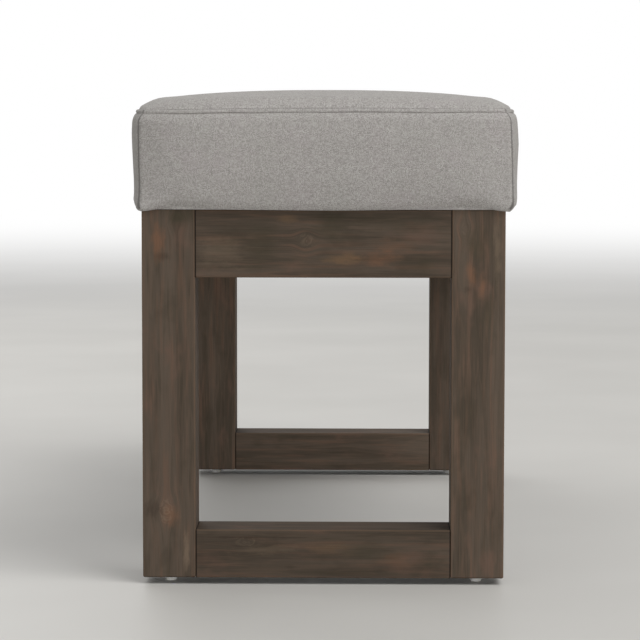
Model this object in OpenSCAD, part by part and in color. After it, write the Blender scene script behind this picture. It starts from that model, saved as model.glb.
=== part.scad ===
// Upholstered bench-type footstool: a boxed, foam-filled seat screwed down on a dowelled and bolted wood frame.
// Origin on the floor under the middle of the seat. X runs across the width, Y along the length, Z up.

/* [Frame] */
// Width across the outer faces of the legs
frame_w = 381; // [350:1:430]
// Length across the outer faces of the legs
frame_l = 881; // [780:1:1060]
// Side of the square legs
leg_side = 56; // [50:1:62]
// Length of the legs, from the glides to the seat
leg_h = 389; // [340:1:440]
// Radius on the long edges of the wood
edge_r = 1.5; // [0.5:0.1:3]
// Bevel sawn round the foot of each leg
foot_bevel = 1.5; // [0.5:0.1:3]

/* [Rails] */
// Height of the four aprons under the seat
apron_h = 71; // [64:1:84]
// Thickness of the four aprons
apron_t = 22; // [20:0.5:26]
// Height of the two stretchers at the floor
stretcher_h = 51.5; // [44:0.5:60]
// Height of the rail across the middle of the frame
cross_rail_h = 50; // [44:1:60]
// Thickness of the rail across the middle of the frame
cross_rail_t = 22; // [18:0.5:28]

/* [Corner braces] */
// Height of the corner braces
brace_h = 45; // [40:1:54]
// Thickness of the corner braces, square to their long faces
brace_t = 25; // [22:0.5:30]
// Depth of the flat on the inner corner of a leg, where the brace bears
leg_flat = 7; // [5:0.5:10]

/* [Dowels] */
// Diameter of the wood dowels
dowel_d = 8; // [6:0.5:9]
// Reach of a dowel into a leg or into the end of a rail
dowel_reach = 20; // [14:0.5:24]
// Reach of a cross rail dowel into a side apron
dowel_short_reach = 14; // [10:0.5:16]
// Spacing of the two dowels at the end of an apron
apron_dowel_gap = 35; // [28:1:40]
// Spacing of the two dowels at the end of a stretcher
stretcher_dowel_gap = 28; // [20:1:34]
// Spacing of the two dowels at the end of the cross rail
cross_dowel_gap = 24; // [16:1:28]
// Space between a dowel and the wall of its hole
dowel_play = 0.05; // [0.02:0.01:0.15]
// Glue space past the end of a dowel
dowel_end_play = 1; // [0.5:0.1:2]

/* [Leg bolts] */
// Diameter of the hanger bolts
bolt_d = 8; // [6:0.5:10]
// Reach of a hanger bolt into its leg
bolt_reach = 32; // [26:1:38]
// Length of bolt that shows past the nut
bolt_tail = 3; // [1:0.5:5]
// Space between a bolt and the hole through the brace
bolt_hole_play = 0.5; // [0.3:0.1:1]
// Space between a bolt and its pilot hole, its washer or its nut
bolt_play = 0.05; // [0.02:0.01:0.15]
// Outer diameter of the washers
washer_d = 20; // [16:1:22]
// Thickness of the washers
washer_t = 1.6; // [1.2:0.1:2.5]
// Width of the hexagon nuts across their flats
nut_af = 13; // [13:0.5:15]
// Height of the hexagon nuts
nut_h = 6.5; // [5:0.1:8]

/* [Screws] */
// Shank diameter of the wood screws
screw_d = 4.2; // [3.5:0.1:5]
// Diameter of the screw heads
screw_head_d = 8.4; // [7.5:0.1:9]
// Height of the screw heads
screw_head_h = 2.8; // [2:0.1:3.5]
// Length of the screws that hold the seat, under the head
seat_screw_len = 35; // [32:1:40]
// Reach of a seat screw into the seat board
seat_screw_reach = 9; // [7:0.5:10]
// Distance of the seat screw from the bolt, along a corner brace
seat_screw_offset = 24; // [21:0.5:26]
// Distance of the cross rail's seat screws from the middle
cross_screw_x = 100; // [60:1:130]
// Length of the screws that hold a brace, under the head
brace_screw_len = 25; // [22:0.5:27]
// Wood of the brace left under a brace screw's head
brace_screw_seat = 9; // [8:0.5:11]
// Spacing of the two brace screws on one apron
brace_screw_gap = 23; // [16:1:26]
// Space between a screw and its pilot hole
screw_play = 0.05; // [0.02:0.01:0.15]
// Space round a screw head in its counterbore
screw_head_play = 0.8; // [0.4:0.1:1.2]

/* [Glides] */
// Diameter of the floor glides
glide_d = 15; // [12:0.5:22]
// Diameter of a glide's flat underside
glide_flat_d = 10.4; // [8:0.1:11.5]
// Height of the floor glides
glide_h = 7; // [5:0.25:9]
// Height of the straight collar of a glide
glide_collar_h = 3.8; // [1.5:0.1:4.5]
// Diameter of the nail moulded into a glide
nail_d = 2.4; // [2:0.1:3]
// Diameter of the nail's head
nail_head_d = 6; // [5:0.1:7]
// Height of the nail's head
nail_head_h = 1.2; // [0.8:0.1:1.5]
// Plastic under the nail's head
nail_floor = 2; // [1.5:0.1:3]
// Reach of the nail into the leg
nail_reach = 18; // [12:1:26]

/* [Seat core] */
// Thickness of the plywood seat board
deck_t = 12; // [11:0.5:16]
// Distance of the seat board's edge inside the frame's outer faces
deck_inset = 4; // [3.5:0.1:8]
// Radius of the seat board's corners
deck_corner_r = 10; // [6:0.5:20]
// Height of the foam block
foam_h = 84; // [60:1:86]
// Distance of the foam's edge inside the seat board's edge
foam_inset = 4; // [2:0.5:8]
// Space between the foam and the wadding round it
foam_play = 0.3; // [0.2:0.05:0.5]

/* [Seat cover] */
// Overhang of the cushion's corners past the frame
corner_overhang = 4.5; // [4:0.1:8]
// Height from the underside of the cushion to its stitched crease
boxing_h = 101.6; // [98:0.2:120]
// Height of the stitched ridge above the crease
ridge_h = 5; // [3:0.25:8]
// Inward lean of the ridge over its height
ridge_lean = 0.9; // [0:0.1:2]
// Rise of the crown above the ridge
crown_h = 20.3; // [10:0.1:30]
// Share of the crown that rises in the shoulder
shoulder_share = 0.39; // [0.2:0.01:0.6]
// Run of the shoulder in from the ridge
shoulder_run = 31; // [20:0.5:50]
// Swell of the sides between their corners
side_swell = 11.5; // [4:0.1:16]
// Share of the swell that is left at the underside
foot_swell_share = 0.75; // [0.1:0.05:1]
// Distance from a corner over which the swell builds up
corner_run = 90; // [60:1:140]
// Draw-in of the sides from the fullest height down to the board
side_draw = 1; // [0:0.1:5]
// Radius to which the sides roll in at the crease and at the underside
roll_r = 14; // [13:0.1:18]
// Height over which the sides roll in
roll_h = 10; // [7:0.1:11.5]
// Thickness of the cover fabric
cover_t = 1.2; // [0.8:0.05:1.5]
// Width of the hem turned in under the board
hem_w = 38; // [34:0.5:44]
// Space between the wadding and the cover
wadding_play = 0.5; // [0.4:0.05:1]
// Thickness of the dust cover under the seat
dust_t = 0.4; // [0.2:0.05:0.8]
// Distance of the dust cover's edge inside the seat board's edge
dust_inset = 6; // [4:0.5:12]

/* [Staples] */
// Length of a staple's crown
staple_w = 10; // [8:0.5:12]
// Width of the staple wire
staple_wire_w = 1.2; // [0.8:0.05:1.3]
// Thickness of the staple wire
staple_wire_t = 0.6; // [0.4:0.05:0.7]
// Length of a staple's legs
staple_leg = 8; // [6:0.5:10]
// Space between a staple and what it is driven through
staple_play = 0.05; // [0.02:0.01:0.1]
// Distance of the hem's staples inside the seat board's edge
hem_staple_in = 22; // [16:0.5:28]
// Pitch of the hem's staples along the long sides
hem_staple_pitch_y = 55; // [40:1:60]
// Pitch of the hem's staples along the ends
hem_staple_pitch_x = 48; // [36:1:50]
// Distance of the dust cover's staples inside the hem
dust_staple_in = 8; // [6:0.5:10]
// Pitch of the dust cover's staples along the long sides
dust_staple_pitch_y = 84; // [64:1:88]
// Spacing of the dust cover's two staples at each end
dust_staple_gap_x = 60; // [40:1:80]

/* [Hidden] */

// Facets of round features
round_fn = 48;
// Overrun of a cutter past the face it opens
cut_over = 1;

// Heights that stack up from the floor
frame_top = glide_h + leg_h;
apron_z = frame_top - apron_h;
brace_z = frame_top - brace_h;
bolt_z = brace_z + brace_h / 2;
cross_rail_z = frame_top - cross_rail_h;
stretcher_mid_z = glide_h + stretcher_h / 2;
cushion_z = frame_top + dust_t;
deck_z = cushion_z + cover_t;
deck_top = deck_z + deck_t;
seat_screw_z = deck_z + seat_screw_reach - seat_screw_len;

// Inner faces of the legs and of the aprons, and the middles of the aprons
leg_x = frame_w / 2 - leg_side;
leg_y = frame_l / 2 - leg_side;
side_face_x = frame_w / 2 - apron_t;
end_face_y = frame_l / 2 - apron_t;
side_mid_x = frame_w / 2 - apron_t / 2;
end_mid_y = frame_l / 2 - apron_t / 2;
leg_mid_x = frame_w / 2 - leg_side / 2;
leg_mid_y = frame_l / 2 - leg_side / 2;

// Dowel heights and places
apron_dowel_z = [for (s = [-1, 1]) apron_z + apron_h / 2 + s * apron_dowel_gap / 2];
cross_dowel_z = [for (s = [-1, 1]) cross_rail_z + cross_rail_h / 2 + s * cross_dowel_gap / 2];
stretcher_dowel_y = [for (s = [-1, 1]) leg_mid_y + s * stretcher_dowel_gap / 2];

// Corner brace outline: its front face bears on the leg's flat, its ends on the two aprons
brace_front_sum = leg_x + leg_y + leg_flat * sqrt(2);
brace_back_sum = brace_front_sum - brace_t * sqrt(2);
brace_end_x = [brace_back_sum - end_face_y, brace_front_sum - end_face_y];
brace_end_y = [brace_back_sum - side_face_x, brace_front_sum - side_face_x];
brace_screw_x = (brace_end_x[0] + brace_end_x[1]) / 2;
brace_screw_y = (brace_end_y[0] + brace_end_y[1]) / 2;
brace_screw_z = [for (s = [-1, 1]) bolt_z + s * brace_screw_gap / 2];
brace_mid = leg_flat - brace_t / 2;
seat_screw_x = leg_x + (brace_mid + seat_screw_offset) / sqrt(2);
seat_screw_y = leg_y + (brace_mid - seat_screw_offset) / sqrt(2);

// Seat board, foam and dust cover half sizes
deck_x = frame_w / 2 - deck_inset;
deck_y = frame_l / 2 - deck_inset;
foam_x = deck_x - foam_inset;
foam_y = deck_y - foam_inset;

// Cushion half sizes at its fullest corners, and the heights above its underside
cushion_x = frame_w / 2 + corner_overhang;
cushion_y = frame_l / 2 + corner_overhang;
full_h = boxing_h * 0.75;
ridge_top_h = boxing_h + ridge_h;

// Grid stations from -1 to 1, closer together near the corners
half_cells_x = 9;
half_cells_y = 11;
stations_x = [for (k = [-half_cells_x:half_cells_x]) sin(90 * k / half_cells_x)];
stations_y = [for (k = [-half_cells_y:half_cells_y]) sin(90 * k / half_cells_y)];
wall_steps = 3;

// Roll of a side towards a seam, x above the height where the roll starts
function roll(x) = x <= 0 ? 0 : roll_r - sqrt(roll_r * roll_r - x * x);
// Draw-in of the sides below their fullest height
function draw(h) = h >= full_h ? 0 : side_draw * pow(1 - h / full_h, 2);
// Distance of the corner edge inside its fullest place, h above the underside
function inset_at(h) =
    h <= boxing_h
        ? draw(h) + roll(roll_h - h) + roll(h - boxing_h + roll_h)
        : roll(roll_h) + ridge_lean * (h - boxing_h) / ridge_h;
// Share of the swell, h above the underside
function swell_share(h) = foot_swell_share + (1 - foot_swell_share) * sin(90 * min(h / full_h, 1));
// Build-up of the swell, d along from a corner
function ease_in(d) = 1 - pow(1 - min(max(d, 0) / corner_run, 1), 2.5);
// Swell of a side of half length half_l, at station s and height h
function swell(s, half_l, h) = side_swell * swell_share(h) * ease_in((1 - abs(s)) * half_l);
// Rise of the crown, from 0 to 1, d in from the ridge of a side whose crown runs to the distance reach
function rise(d, reach) =
    shoulder_share * (1 - pow(1 - min(d / shoulder_run, 1), 2))
    + (1 - shoulder_share) * (1 - pow(1 - min(d / reach, 1), 2.6));

// Heights of the rows of a boxing panel, from its underside edge to the ridge
wall_rows = concat(
    [for (f = [0, 0.2, 0.5, 1]) roll_h * f],
    [for (k = [1:wall_steps]) roll_h + (boxing_h - 2 * roll_h) * k / wall_steps],
    [for (f = [0.5, 0.2, 0]) boxing_h - roll_h * f],
    [for (f = [0.5, 1]) boxing_h + ridge_h * f]
);
// Half sizes of the hem's inner edge and of the stitched ridge's outer edge
hem_x = cushion_x - inset_at(0) - hem_w;
hem_y = cushion_y - inset_at(0) - hem_w;
ridge_x = cushion_x - inset_at(ridge_top_h);
ridge_y = cushion_y - inset_at(ridge_top_h);

// Point of the end wall at station s, row height h, k inside the outer surface
function end_wall(s, h, k) = [
    s * (cushion_x - inset_at(h) - k),
    cushion_y - inset_at(h) - k + swell(s, cushion_x, h),
    cushion_z + max(h, h == 0 ? k : 0)
];
// Point of the side wall at station t, row height h, k inside the outer surface
function side_wall(t, h, k) = [
    cushion_x - inset_at(h) - k + swell(t, cushion_y, h),
    t * (cushion_y - inset_at(h) - k),
    cushion_z + max(h, h == 0 ? k : 0)
];
// Point of the crowned top at stations s and t, k inside the outer surface
function crown(s, t, k) =
    let (
        half_x = ridge_x - k + swell(t, cushion_y, ridge_top_h),
        half_y = ridge_y - k + swell(s, cushion_x, ridge_top_h),
        reach = ridge_x + side_swell,
        rise_x = rise((1 - abs(s)) * half_x, reach),
        rise_y = rise((1 - abs(t)) * half_y, reach)
    )
    [s * half_x, t * half_y, cushion_z + ridge_top_h + (crown_h - k) * rise_x * rise_y];

// Two triangles of a grid cell whose corners go round clockwise, seen from outside
function cell(a, b, c, d) = [[a, b, c], [a, c, d]];
// Triangles of a closed sheet: an outer grid of points, then an inner one, each of rows by cols
function sheet_faces(rows, cols) =
    let (n = rows * cols)
    [
        for (r = [0:rows - 2], c = [0:cols - 2])
            let (a = r * cols + c)
            each concat(
                cell(a, a + 1, a + cols + 1, a + cols),
                cell(n + a, n + a + cols, n + a + cols + 1, n + a + 1)
            ),
        for (c = [0:cols - 2])
            let (z = (rows - 1) * cols + c)
            each concat(cell(c, n + c, n + c + 1, c + 1), cell(z, z + 1, n + z + 1, n + z)),
        for (r = [0:rows - 2])
            let (a = r * cols, b = a + cols - 1)
            each concat(cell(a, a + cols, n + a + cols, n + a), cell(b, n + b, n + b + cols, b + cols))
    ];

// Places the rear right quarter's children in the quarter given by the signs of x and y
module quarter(sx, sy) {
    if (sx > 0 && sy > 0) children();
    else if (sx < 0 && sy > 0) mirror([1, 0, 0]) children();
    else if (sx > 0) mirror([0, 1, 0]) children();
    else rotate([0, 0, 180]) children();
}

// Places the children in all four quarters
module each_quarter() {
    for (sx = [-1, 1], sy = [-1, 1]) quarter(sx, sy) children();
}

// Rectangle with rounded corners
module eased_rect(a, b, r) {
    translate([r, 0]) square([a - 2 * r, b]);
    translate([0, r]) square([a, b - 2 * r]);
    for (x = [r, a - r], y = [r, b - r]) translate([x, y]) circle(r, $fn = round_fn);
}

// Bar along X from -len/2 to len/2, a deep in Y and b high in Z, with eased long edges
module bar_x(len, a, b) {
    translate([-len / 2, 0, 0]) rotate([90, 0, 90]) linear_extrude(len) eased_rect(a, b, edge_r);
}

// Bar along Y from -len/2 to len/2, a wide in X and b high in Z, with eased long edges
module bar_y(len, a, b) {
    translate([0, len / 2, 0]) rotate([90, 0, 0]) linear_extrude(len) eased_rect(a, b, edge_r);
}

// Round pin along X, from x = -back to x = ahead
module pin_x(d, back, ahead) {
    translate([-back, 0, 0]) rotate([0, 90, 0]) cylinder(d = d, h = back + ahead, $fn = round_fn);
}

// Round pin along Y, from y = -back to y = ahead
module pin_y(d, back, ahead) {
    translate([0, -back, 0]) rotate([-90, 0, 0]) cylinder(d = d, h = back + ahead, $fn = round_fn);
}

// Frame of the bolt in the rear right corner: its X axis runs out through the leg's flat corner
module bolt_frame() {
    translate([leg_x, leg_y, bolt_z]) rotate([0, 0, 45]) children();
}

// Dowels of the rear right joint between leg and end apron, grown by play
module end_apron_dowel_pair(play, end_play) {
    for (z = apron_dowel_z)
        translate([leg_x, end_mid_y, z])
            pin_x(dowel_d + 2 * play, dowel_reach + end_play, dowel_reach + end_play);
}

// Dowels of the rear right joint between leg and side apron, grown by play
module side_apron_dowel_pair(play, end_play) {
    for (z = apron_dowel_z)
        translate([side_mid_x, leg_y, z])
            pin_y(dowel_d + 2 * play, dowel_reach + end_play, dowel_reach + end_play);
}

// Dowels of the rear right joint between leg and stretcher, grown by play
module stretcher_dowel_pair(play, end_play) {
    for (y = stretcher_dowel_y)
        translate([leg_x, y, stretcher_mid_z])
            pin_x(dowel_d + 2 * play, dowel_reach + end_play, dowel_reach + end_play);
}

// Dowels of the right joint between cross rail and side apron, grown by play
module cross_rail_dowel_pair(play, end_play) {
    for (z = cross_dowel_z)
        translate([side_face_x, 0, z])
            pin_x(dowel_d + 2 * play, dowel_reach + end_play, dowel_short_reach + end_play);
}

// Wood screw pointing up, its head's underside at z = 0
module screw(len, play) {
    translate([0, 0, -screw_head_h]) cylinder(d = screw_head_d, h = screw_head_h, $fn = round_fn);
    cylinder(d = screw_d + 2 * play, h = len + play, $fn = round_fn);
}

// Hole for a screw pointing up, with a counterbore that runs depth down from the head's underside
module screw_hole(len, depth) {
    translate([0, 0, -depth])
        cylinder(d = screw_head_d + 2 * screw_head_play, h = depth, $fn = round_fn);
    cylinder(d = screw_d + 2 * screw_play, h = len + screw_play, $fn = round_fn);
}

// Places a child that points up at each brace screw of the rear right corner
module at_brace_screws() {
    for (z = brace_screw_z) {
        translate([brace_screw_x, end_face_y - brace_screw_seat, z]) rotate([-90, 0, 0]) children();
        translate([side_face_x - brace_screw_seat, brace_screw_y, z]) rotate([0, 90, 0]) children();
    }
}

// Leg of the rear right corner
module leg_blank() {
    difference() {
        translate([leg_x, leg_y, glide_h]) linear_extrude(leg_h) eased_rect(leg_side, leg_side, edge_r);
        foot_bevels();
        leg_corner_flat();
        end_apron_dowel_pair(dowel_play, dowel_end_play);
        side_apron_dowel_pair(dowel_play, dowel_end_play);
        stretcher_dowel_pair(dowel_play, dowel_end_play);
        bolt_frame() pin_x(bolt_d + 2 * bolt_play, leg_side, leg_flat + bolt_reach + bolt_play);
        glide_nail(bolt_play);
    }
}

// Four wedges that bevel the foot of the leg
module foot_bevels() {
    translate([leg_mid_x, leg_mid_y, glide_h])
        for (a = [0, 90, 180, 270])
            rotate([0, 0, a])
                translate([leg_side / 2, leg_side, 0])
                    rotate([90, 0, 0])
                        linear_extrude(2 * leg_side)
                            polygon([
                                [-foot_bevel, -cut_over], [cut_over, -cut_over],
                                [cut_over, foot_bevel + cut_over], [-foot_bevel - cut_over, -cut_over]
                            ]);
}

// Cutter for the flat on the leg's inner corner, as high as the brace
module leg_corner_flat() {
    bolt_frame()
        translate([leg_flat - leg_side, -leg_side / 2, -brace_h / 2])
            cube([leg_side, leg_side, brace_h + cut_over]);
}

module leg(sx, sy) {
    color("#54473C") quarter(sx, sy) leg_blank();
}

module end_apron_blank() {
    difference() {
        translate([0, end_face_y, apron_z]) bar_x(2 * leg_x, apron_t, apron_h);
        for (sx = [-1, 1])
            quarter(sx, 1) {
                end_apron_dowel_pair(dowel_play, dowel_end_play);
                at_brace_screws() screw_hole(brace_screw_len, brace_screw_seat / 2);
            }
    }
}

module end_apron(sy) {
    color("#584A3F") quarter(1, sy) end_apron_blank();
}

module side_apron_blank() {
    difference() {
        translate([side_face_x, 0, apron_z]) bar_y(2 * leg_y, apron_t, apron_h);
        for (sy = [-1, 1])
            quarter(1, sy) {
                side_apron_dowel_pair(dowel_play, dowel_end_play);
                at_brace_screws() screw_hole(brace_screw_len, brace_screw_seat / 2);
            }
        cross_rail_dowel_pair(dowel_play, dowel_end_play);
    }
}

module side_apron(sx) {
    color("#584A3F") quarter(sx, 1) side_apron_blank();
}

module end_stretcher_blank() {
    difference() {
        translate([0, leg_y, glide_h]) bar_x(2 * leg_x, leg_side, stretcher_h);
        for (sx = [-1, 1]) quarter(sx, 1) stretcher_dowel_pair(dowel_play, dowel_end_play);
    }
}

module end_stretcher(sy) {
    color("#584A3F") quarter(1, sy) end_stretcher_blank();
}

module cross_rail() {
    color("#8C7355")
        difference() {
            translate([0, -cross_rail_t / 2, cross_rail_z])
                bar_x(2 * side_face_x, cross_rail_t, cross_rail_h);
            for (sx = [-1, 1]) {
                quarter(sx, 1) cross_rail_dowel_pair(dowel_play, dowel_end_play);
                translate([sx * cross_screw_x, 0, seat_screw_z])
                    screw_hole(seat_screw_len, cross_rail_h);
            }
        }
}

// Brace of the rear right corner
module brace_blank() {
    difference() {
        translate([0, 0, brace_z])
            linear_extrude(brace_h)
                polygon([
                    [brace_end_x[1], end_face_y], [side_face_x, brace_end_y[1]],
                    [side_face_x, brace_end_y[0]], [brace_end_x[0], end_face_y]
                ]);
        bolt_frame() pin_x(bolt_d + 2 * bolt_hole_play, leg_side, leg_side / 2);
        translate([seat_screw_x, seat_screw_y, seat_screw_z]) screw_hole(seat_screw_len, brace_h);
        at_brace_screws() screw_hole(brace_screw_len, brace_t);
    }
}

module corner_brace(sx, sy) {
    color("#A08560") quarter(sx, sy) brace_blank();
}

module end_apron_dowels() {
    color("#C9A873") each_quarter() end_apron_dowel_pair(0, 0);
}

module side_apron_dowels() {
    color("#C9A873") each_quarter() side_apron_dowel_pair(0, 0);
}

module stretcher_dowels() {
    color("#C9A873") each_quarter() stretcher_dowel_pair(0, 0);
}

module cross_rail_dowels() {
    color("#C9A873") for (sx = [-1, 1]) quarter(sx, 1) cross_rail_dowel_pair(0, 0);
}

module hanger_bolts() {
    back = brace_t - leg_flat + washer_t + nut_h + bolt_tail;
    color("#B8B6B0") each_quarter() bolt_frame() pin_x(bolt_d, back, leg_flat + bolt_reach);
}

module bolt_washers() {
    color("#C4C2BC")
        each_quarter()
            bolt_frame()
                translate([leg_flat - brace_t - washer_t, 0, 0])
                    rotate([0, 90, 0])
                        difference() {
                            cylinder(d = washer_d, h = washer_t, $fn = round_fn);
                            translate([0, 0, -cut_over])
                                cylinder(d = bolt_d + 2 * bolt_play, h = washer_t + 2 * cut_over, $fn = round_fn);
                        }
}

module bolt_nuts() {
    color("#BDBBB5")
        each_quarter()
            bolt_frame()
                translate([leg_flat - brace_t - washer_t - nut_h, 0, 0])
                    rotate([0, 90, 0])
                        difference() {
                            cylinder(d = nut_af / cos(30), h = nut_h, $fn = 6);
                            translate([0, 0, -cut_over])
                                cylinder(d = bolt_d + 2 * bolt_play, h = nut_h + 2 * cut_over, $fn = round_fn);
                        }
}

module brace_screws() {
    color("#C7B26A") each_quarter() at_brace_screws() screw(brace_screw_len, 0);
}

module seat_screws() {
    color("#C7B26A") {
        each_quarter() translate([seat_screw_x, seat_screw_y, seat_screw_z]) screw(seat_screw_len, 0);
        for (sx = [-1, 1])
            translate([sx * cross_screw_x, 0, seat_screw_z]) screw(seat_screw_len, 0);
    }
}

// Nail of the rear right glide, grown by play
module glide_nail(play) {
    translate([leg_mid_x, leg_mid_y, nail_floor - play])
        cylinder(d = nail_head_d + 2 * play, h = nail_head_h + 2 * play, $fn = round_fn);
    translate([leg_mid_x, leg_mid_y, nail_floor])
        cylinder(d = nail_d + 2 * play, h = glide_h - nail_floor + nail_reach + play, $fn = round_fn);
}

// Rear right glide: a round plastic cap with a tapered foot
module glide_blank() {
    difference() {
        translate([leg_mid_x, leg_mid_y, 0])
            rotate_extrude($fn = round_fn)
                polygon([
                    [0, 0], [glide_flat_d / 2, 0], [glide_d / 2, glide_h - glide_collar_h],
                    [glide_d / 2, glide_h], [0, glide_h]
                ]);
        glide_nail(bolt_play);
    }
}

module glide(sx, sy) {
    color("#D8D5CF") quarter(sx, sy) glide_blank();
}

module glide_nails() {
    color("#9A9894") each_quarter() glide_nail(0);
}

// Staple pointing up, its crown along X with the lower face at z = 0
module staple(play) {
    translate([-staple_w / 2 - play, -staple_wire_w / 2 - play, -play])
        cube([staple_w + 2 * play, staple_wire_w + 2 * play, staple_wire_t + 2 * play]);
    for (s = [-1, 1])
        translate([s * (staple_w - staple_wire_t) / 2 - staple_wire_t / 2 - play, -staple_wire_w / 2 - play, 0])
            cube([staple_wire_t + 2 * play, staple_wire_w + 2 * play, staple_leg + play]);
}

// Staples of the hem, set into the fabric
module hem_staples(play) {
    count_x = floor((deck_x - 2 * hem_staple_in) / hem_staple_pitch_x);
    count_y = floor((deck_y - 2 * hem_staple_in) / hem_staple_pitch_y);
    for (sy = [-1, 1], i = [-count_x:count_x])
        translate([i * hem_staple_pitch_x, sy * (deck_y - hem_staple_in), cushion_z]) staple(play);
    for (sx = [-1, 1], i = [-count_y:count_y])
        translate([sx * (deck_x - hem_staple_in), i * hem_staple_pitch_y, cushion_z])
            rotate([0, 0, 90]) staple(play);
}

// Staples of the dust cover, inside the hem and clear of the braces and the cross rail
module dust_staples(play) {
    z = frame_top - staple_wire_t;
    count_y = floor((brace_end_y[0] - staple_w) / dust_staple_pitch_y - 0.5);
    for (sy = [-1, 1], sx = [-1, 1])
        translate([sx * dust_staple_gap_x / 2, sy * (hem_y - dust_staple_in), z]) staple(play);
    for (sx = [-1, 1], sy = [-1, 1], i = [0:count_y])
        translate([sx * (hem_x - dust_staple_in), sy * (i + 0.5) * dust_staple_pitch_y, z])
            rotate([0, 0, 90]) staple(play);
}

// Pilot holes of all the seat screws
module seat_screw_holes() {
    each_quarter()
        translate([seat_screw_x, seat_screw_y, seat_screw_z]) screw_hole(seat_screw_len, screw_head_h);
    for (sx = [-1, 1])
        translate([sx * cross_screw_x, 0, seat_screw_z]) screw_hole(seat_screw_len, screw_head_h);
}

module seat_board() {
    color("#B08D5E")
        difference() {
            translate([-deck_x, -deck_y, deck_z])
                linear_extrude(deck_t) eased_rect(2 * deck_x, 2 * deck_y, deck_corner_r);
            seat_screw_holes();
            hem_staples(staple_play);
            dust_staples(staple_play);
        }
}

module foam_block() {
    color("#E7DDBE") translate([-foam_x, -foam_y, deck_top]) cube([2 * foam_x, 2 * foam_y, foam_h]);
}

// Points round the cushion at row height h, k inside the outer surface, from the front left corner
function ring(h, k) = [
    for (i = [0:2 * half_cells_x - 1]) let (p = end_wall(stations_x[i], h, k)) [p[0], -p[1], p[2]],
    for (j = [0:2 * half_cells_y - 1]) side_wall(stations_y[j], h, k),
    for (i = [2 * half_cells_x:-1:1]) end_wall(stations_x[i], h, k),
    for (j = [2 * half_cells_y:-1:1]) let (p = side_wall(stations_y[j], h, k)) [-p[0], p[1], p[2]]
];
// Place in the ring of the grid point in column i and row j of the top, for a point on the grid's edge
function ring_place(i, j) =
    j == 0 ? i
    : i == 2 * half_cells_x ? i + j
    : j == 2 * half_cells_y ? 2 * half_cells_x + j + 2 * half_cells_x - i
    : 4 * half_cells_x + 4 * half_cells_y - j;

// Closed crowned body k inside the cover, with a flat underside on the seat board
module crowned_body(k) {
    low = deck_top - cushion_z;
    rows = concat([low], [for (h = wall_rows) if (h > low + k) h]);
    around = 4 * (half_cells_x + half_cells_y);
    cols = 2 * half_cells_x + 1;
    lines = 2 * half_cells_y + 1;
    walls = [for (h = rows) each ring(h, k)];
    top = [for (j = [1:lines - 2], i = [1:cols - 2]) crown(stations_x[i], stations_y[j], k)];
    last = (len(rows) - 1) * around;
    inner_0 = len(walls);
    foot = [0, 0, deck_top];
    function place(i, j) =
        i == 0 || j == 0 || i == cols - 1 || j == lines - 1
            ? last + ring_place(i, j)
            : inner_0 + (j - 1) * (cols - 2) + i - 1;
    polyhedron(
        points = concat(walls, top, [foot]),
        faces = [
            for (r = [0:len(rows) - 2], c = [0:around - 1])
                let (a = r * around + c, b = r * around + (c + 1) % around)
                each cell(a, a + around, b + around, b),
            for (j = [0:lines - 2], i = [0:cols - 2])
                each cell(place(i, j), place(i, j + 1), place(i + 1, j + 1), place(i + 1, j)),
            for (c = [0:around - 1]) [c, (c + 1) % around, inner_0 + len(top)]
        ]
    );
}

module wadding() {
    size = [foam_x + foam_play, foam_y + foam_play, foam_h + foam_play];
    color("#F2F1EC")
        difference() {
            crowned_body(cover_t + wadding_play);
            translate([-size[0], -size[1], deck_top - cut_over])
                cube([2 * size[0], 2 * size[1], size[2] + cut_over]);
        }
}

module cover_top() {
    color("#A6A4A0")
        polyhedron(
            points = [for (k = [0, cover_t], t = stations_y, s = stations_x) crown(s, t, k)],
            faces = [for (f = sheet_faces(len(stations_y), len(stations_x))) [f[2], f[1], f[0]]]
        );
}

// Rear boxing panel with its hem
module end_cover_blank() {
    difference() {
        polyhedron(
            points = [
                for (k = [0, cover_t]) each concat(
                    [for (s = stations_x) [s * hem_x, hem_y, cushion_z + k]],
                    [for (h = wall_rows, s = stations_x) end_wall(s, h, k)]
                )
            ],
            faces = sheet_faces(len(wall_rows) + 1, len(stations_x))
        );
        hem_staples(staple_play);
    }
}

// Right boxing panel with its hem
module side_cover_blank() {
    difference() {
        polyhedron(
            points = [
                for (k = [0, cover_t]) each concat(
                    [for (t = stations_y) [hem_x, t * hem_y, cushion_z + k]],
                    [for (h = wall_rows, t = stations_y) side_wall(t, h, k)]
                )
            ],
            faces = [for (f = sheet_faces(len(wall_rows) + 1, len(stations_y))) [f[2], f[1], f[0]]]
        );
        hem_staples(staple_play);
    }
}

module cover_end(sy) {
    color("#94908B") quarter(1, sy) end_cover_blank();
}

module cover_side(sx) {
    color("#94908B") quarter(sx, 1) side_cover_blank();
}

module cover_staples() {
    color("#B9B7B2") hem_staples(0);
}

module dust_cover() {
    size = [deck_x - dust_inset, deck_y - dust_inset];
    color("#2B2B2C")
        difference() {
            translate([-size[0], -size[1], frame_top]) cube([2 * size[0], 2 * size[1], dust_t]);
            seat_screw_holes();
            dust_staples(staple_play);
        }
}

module dust_cover_staples() {
    color("#B9B7B2") dust_staples(0);
}

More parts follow.
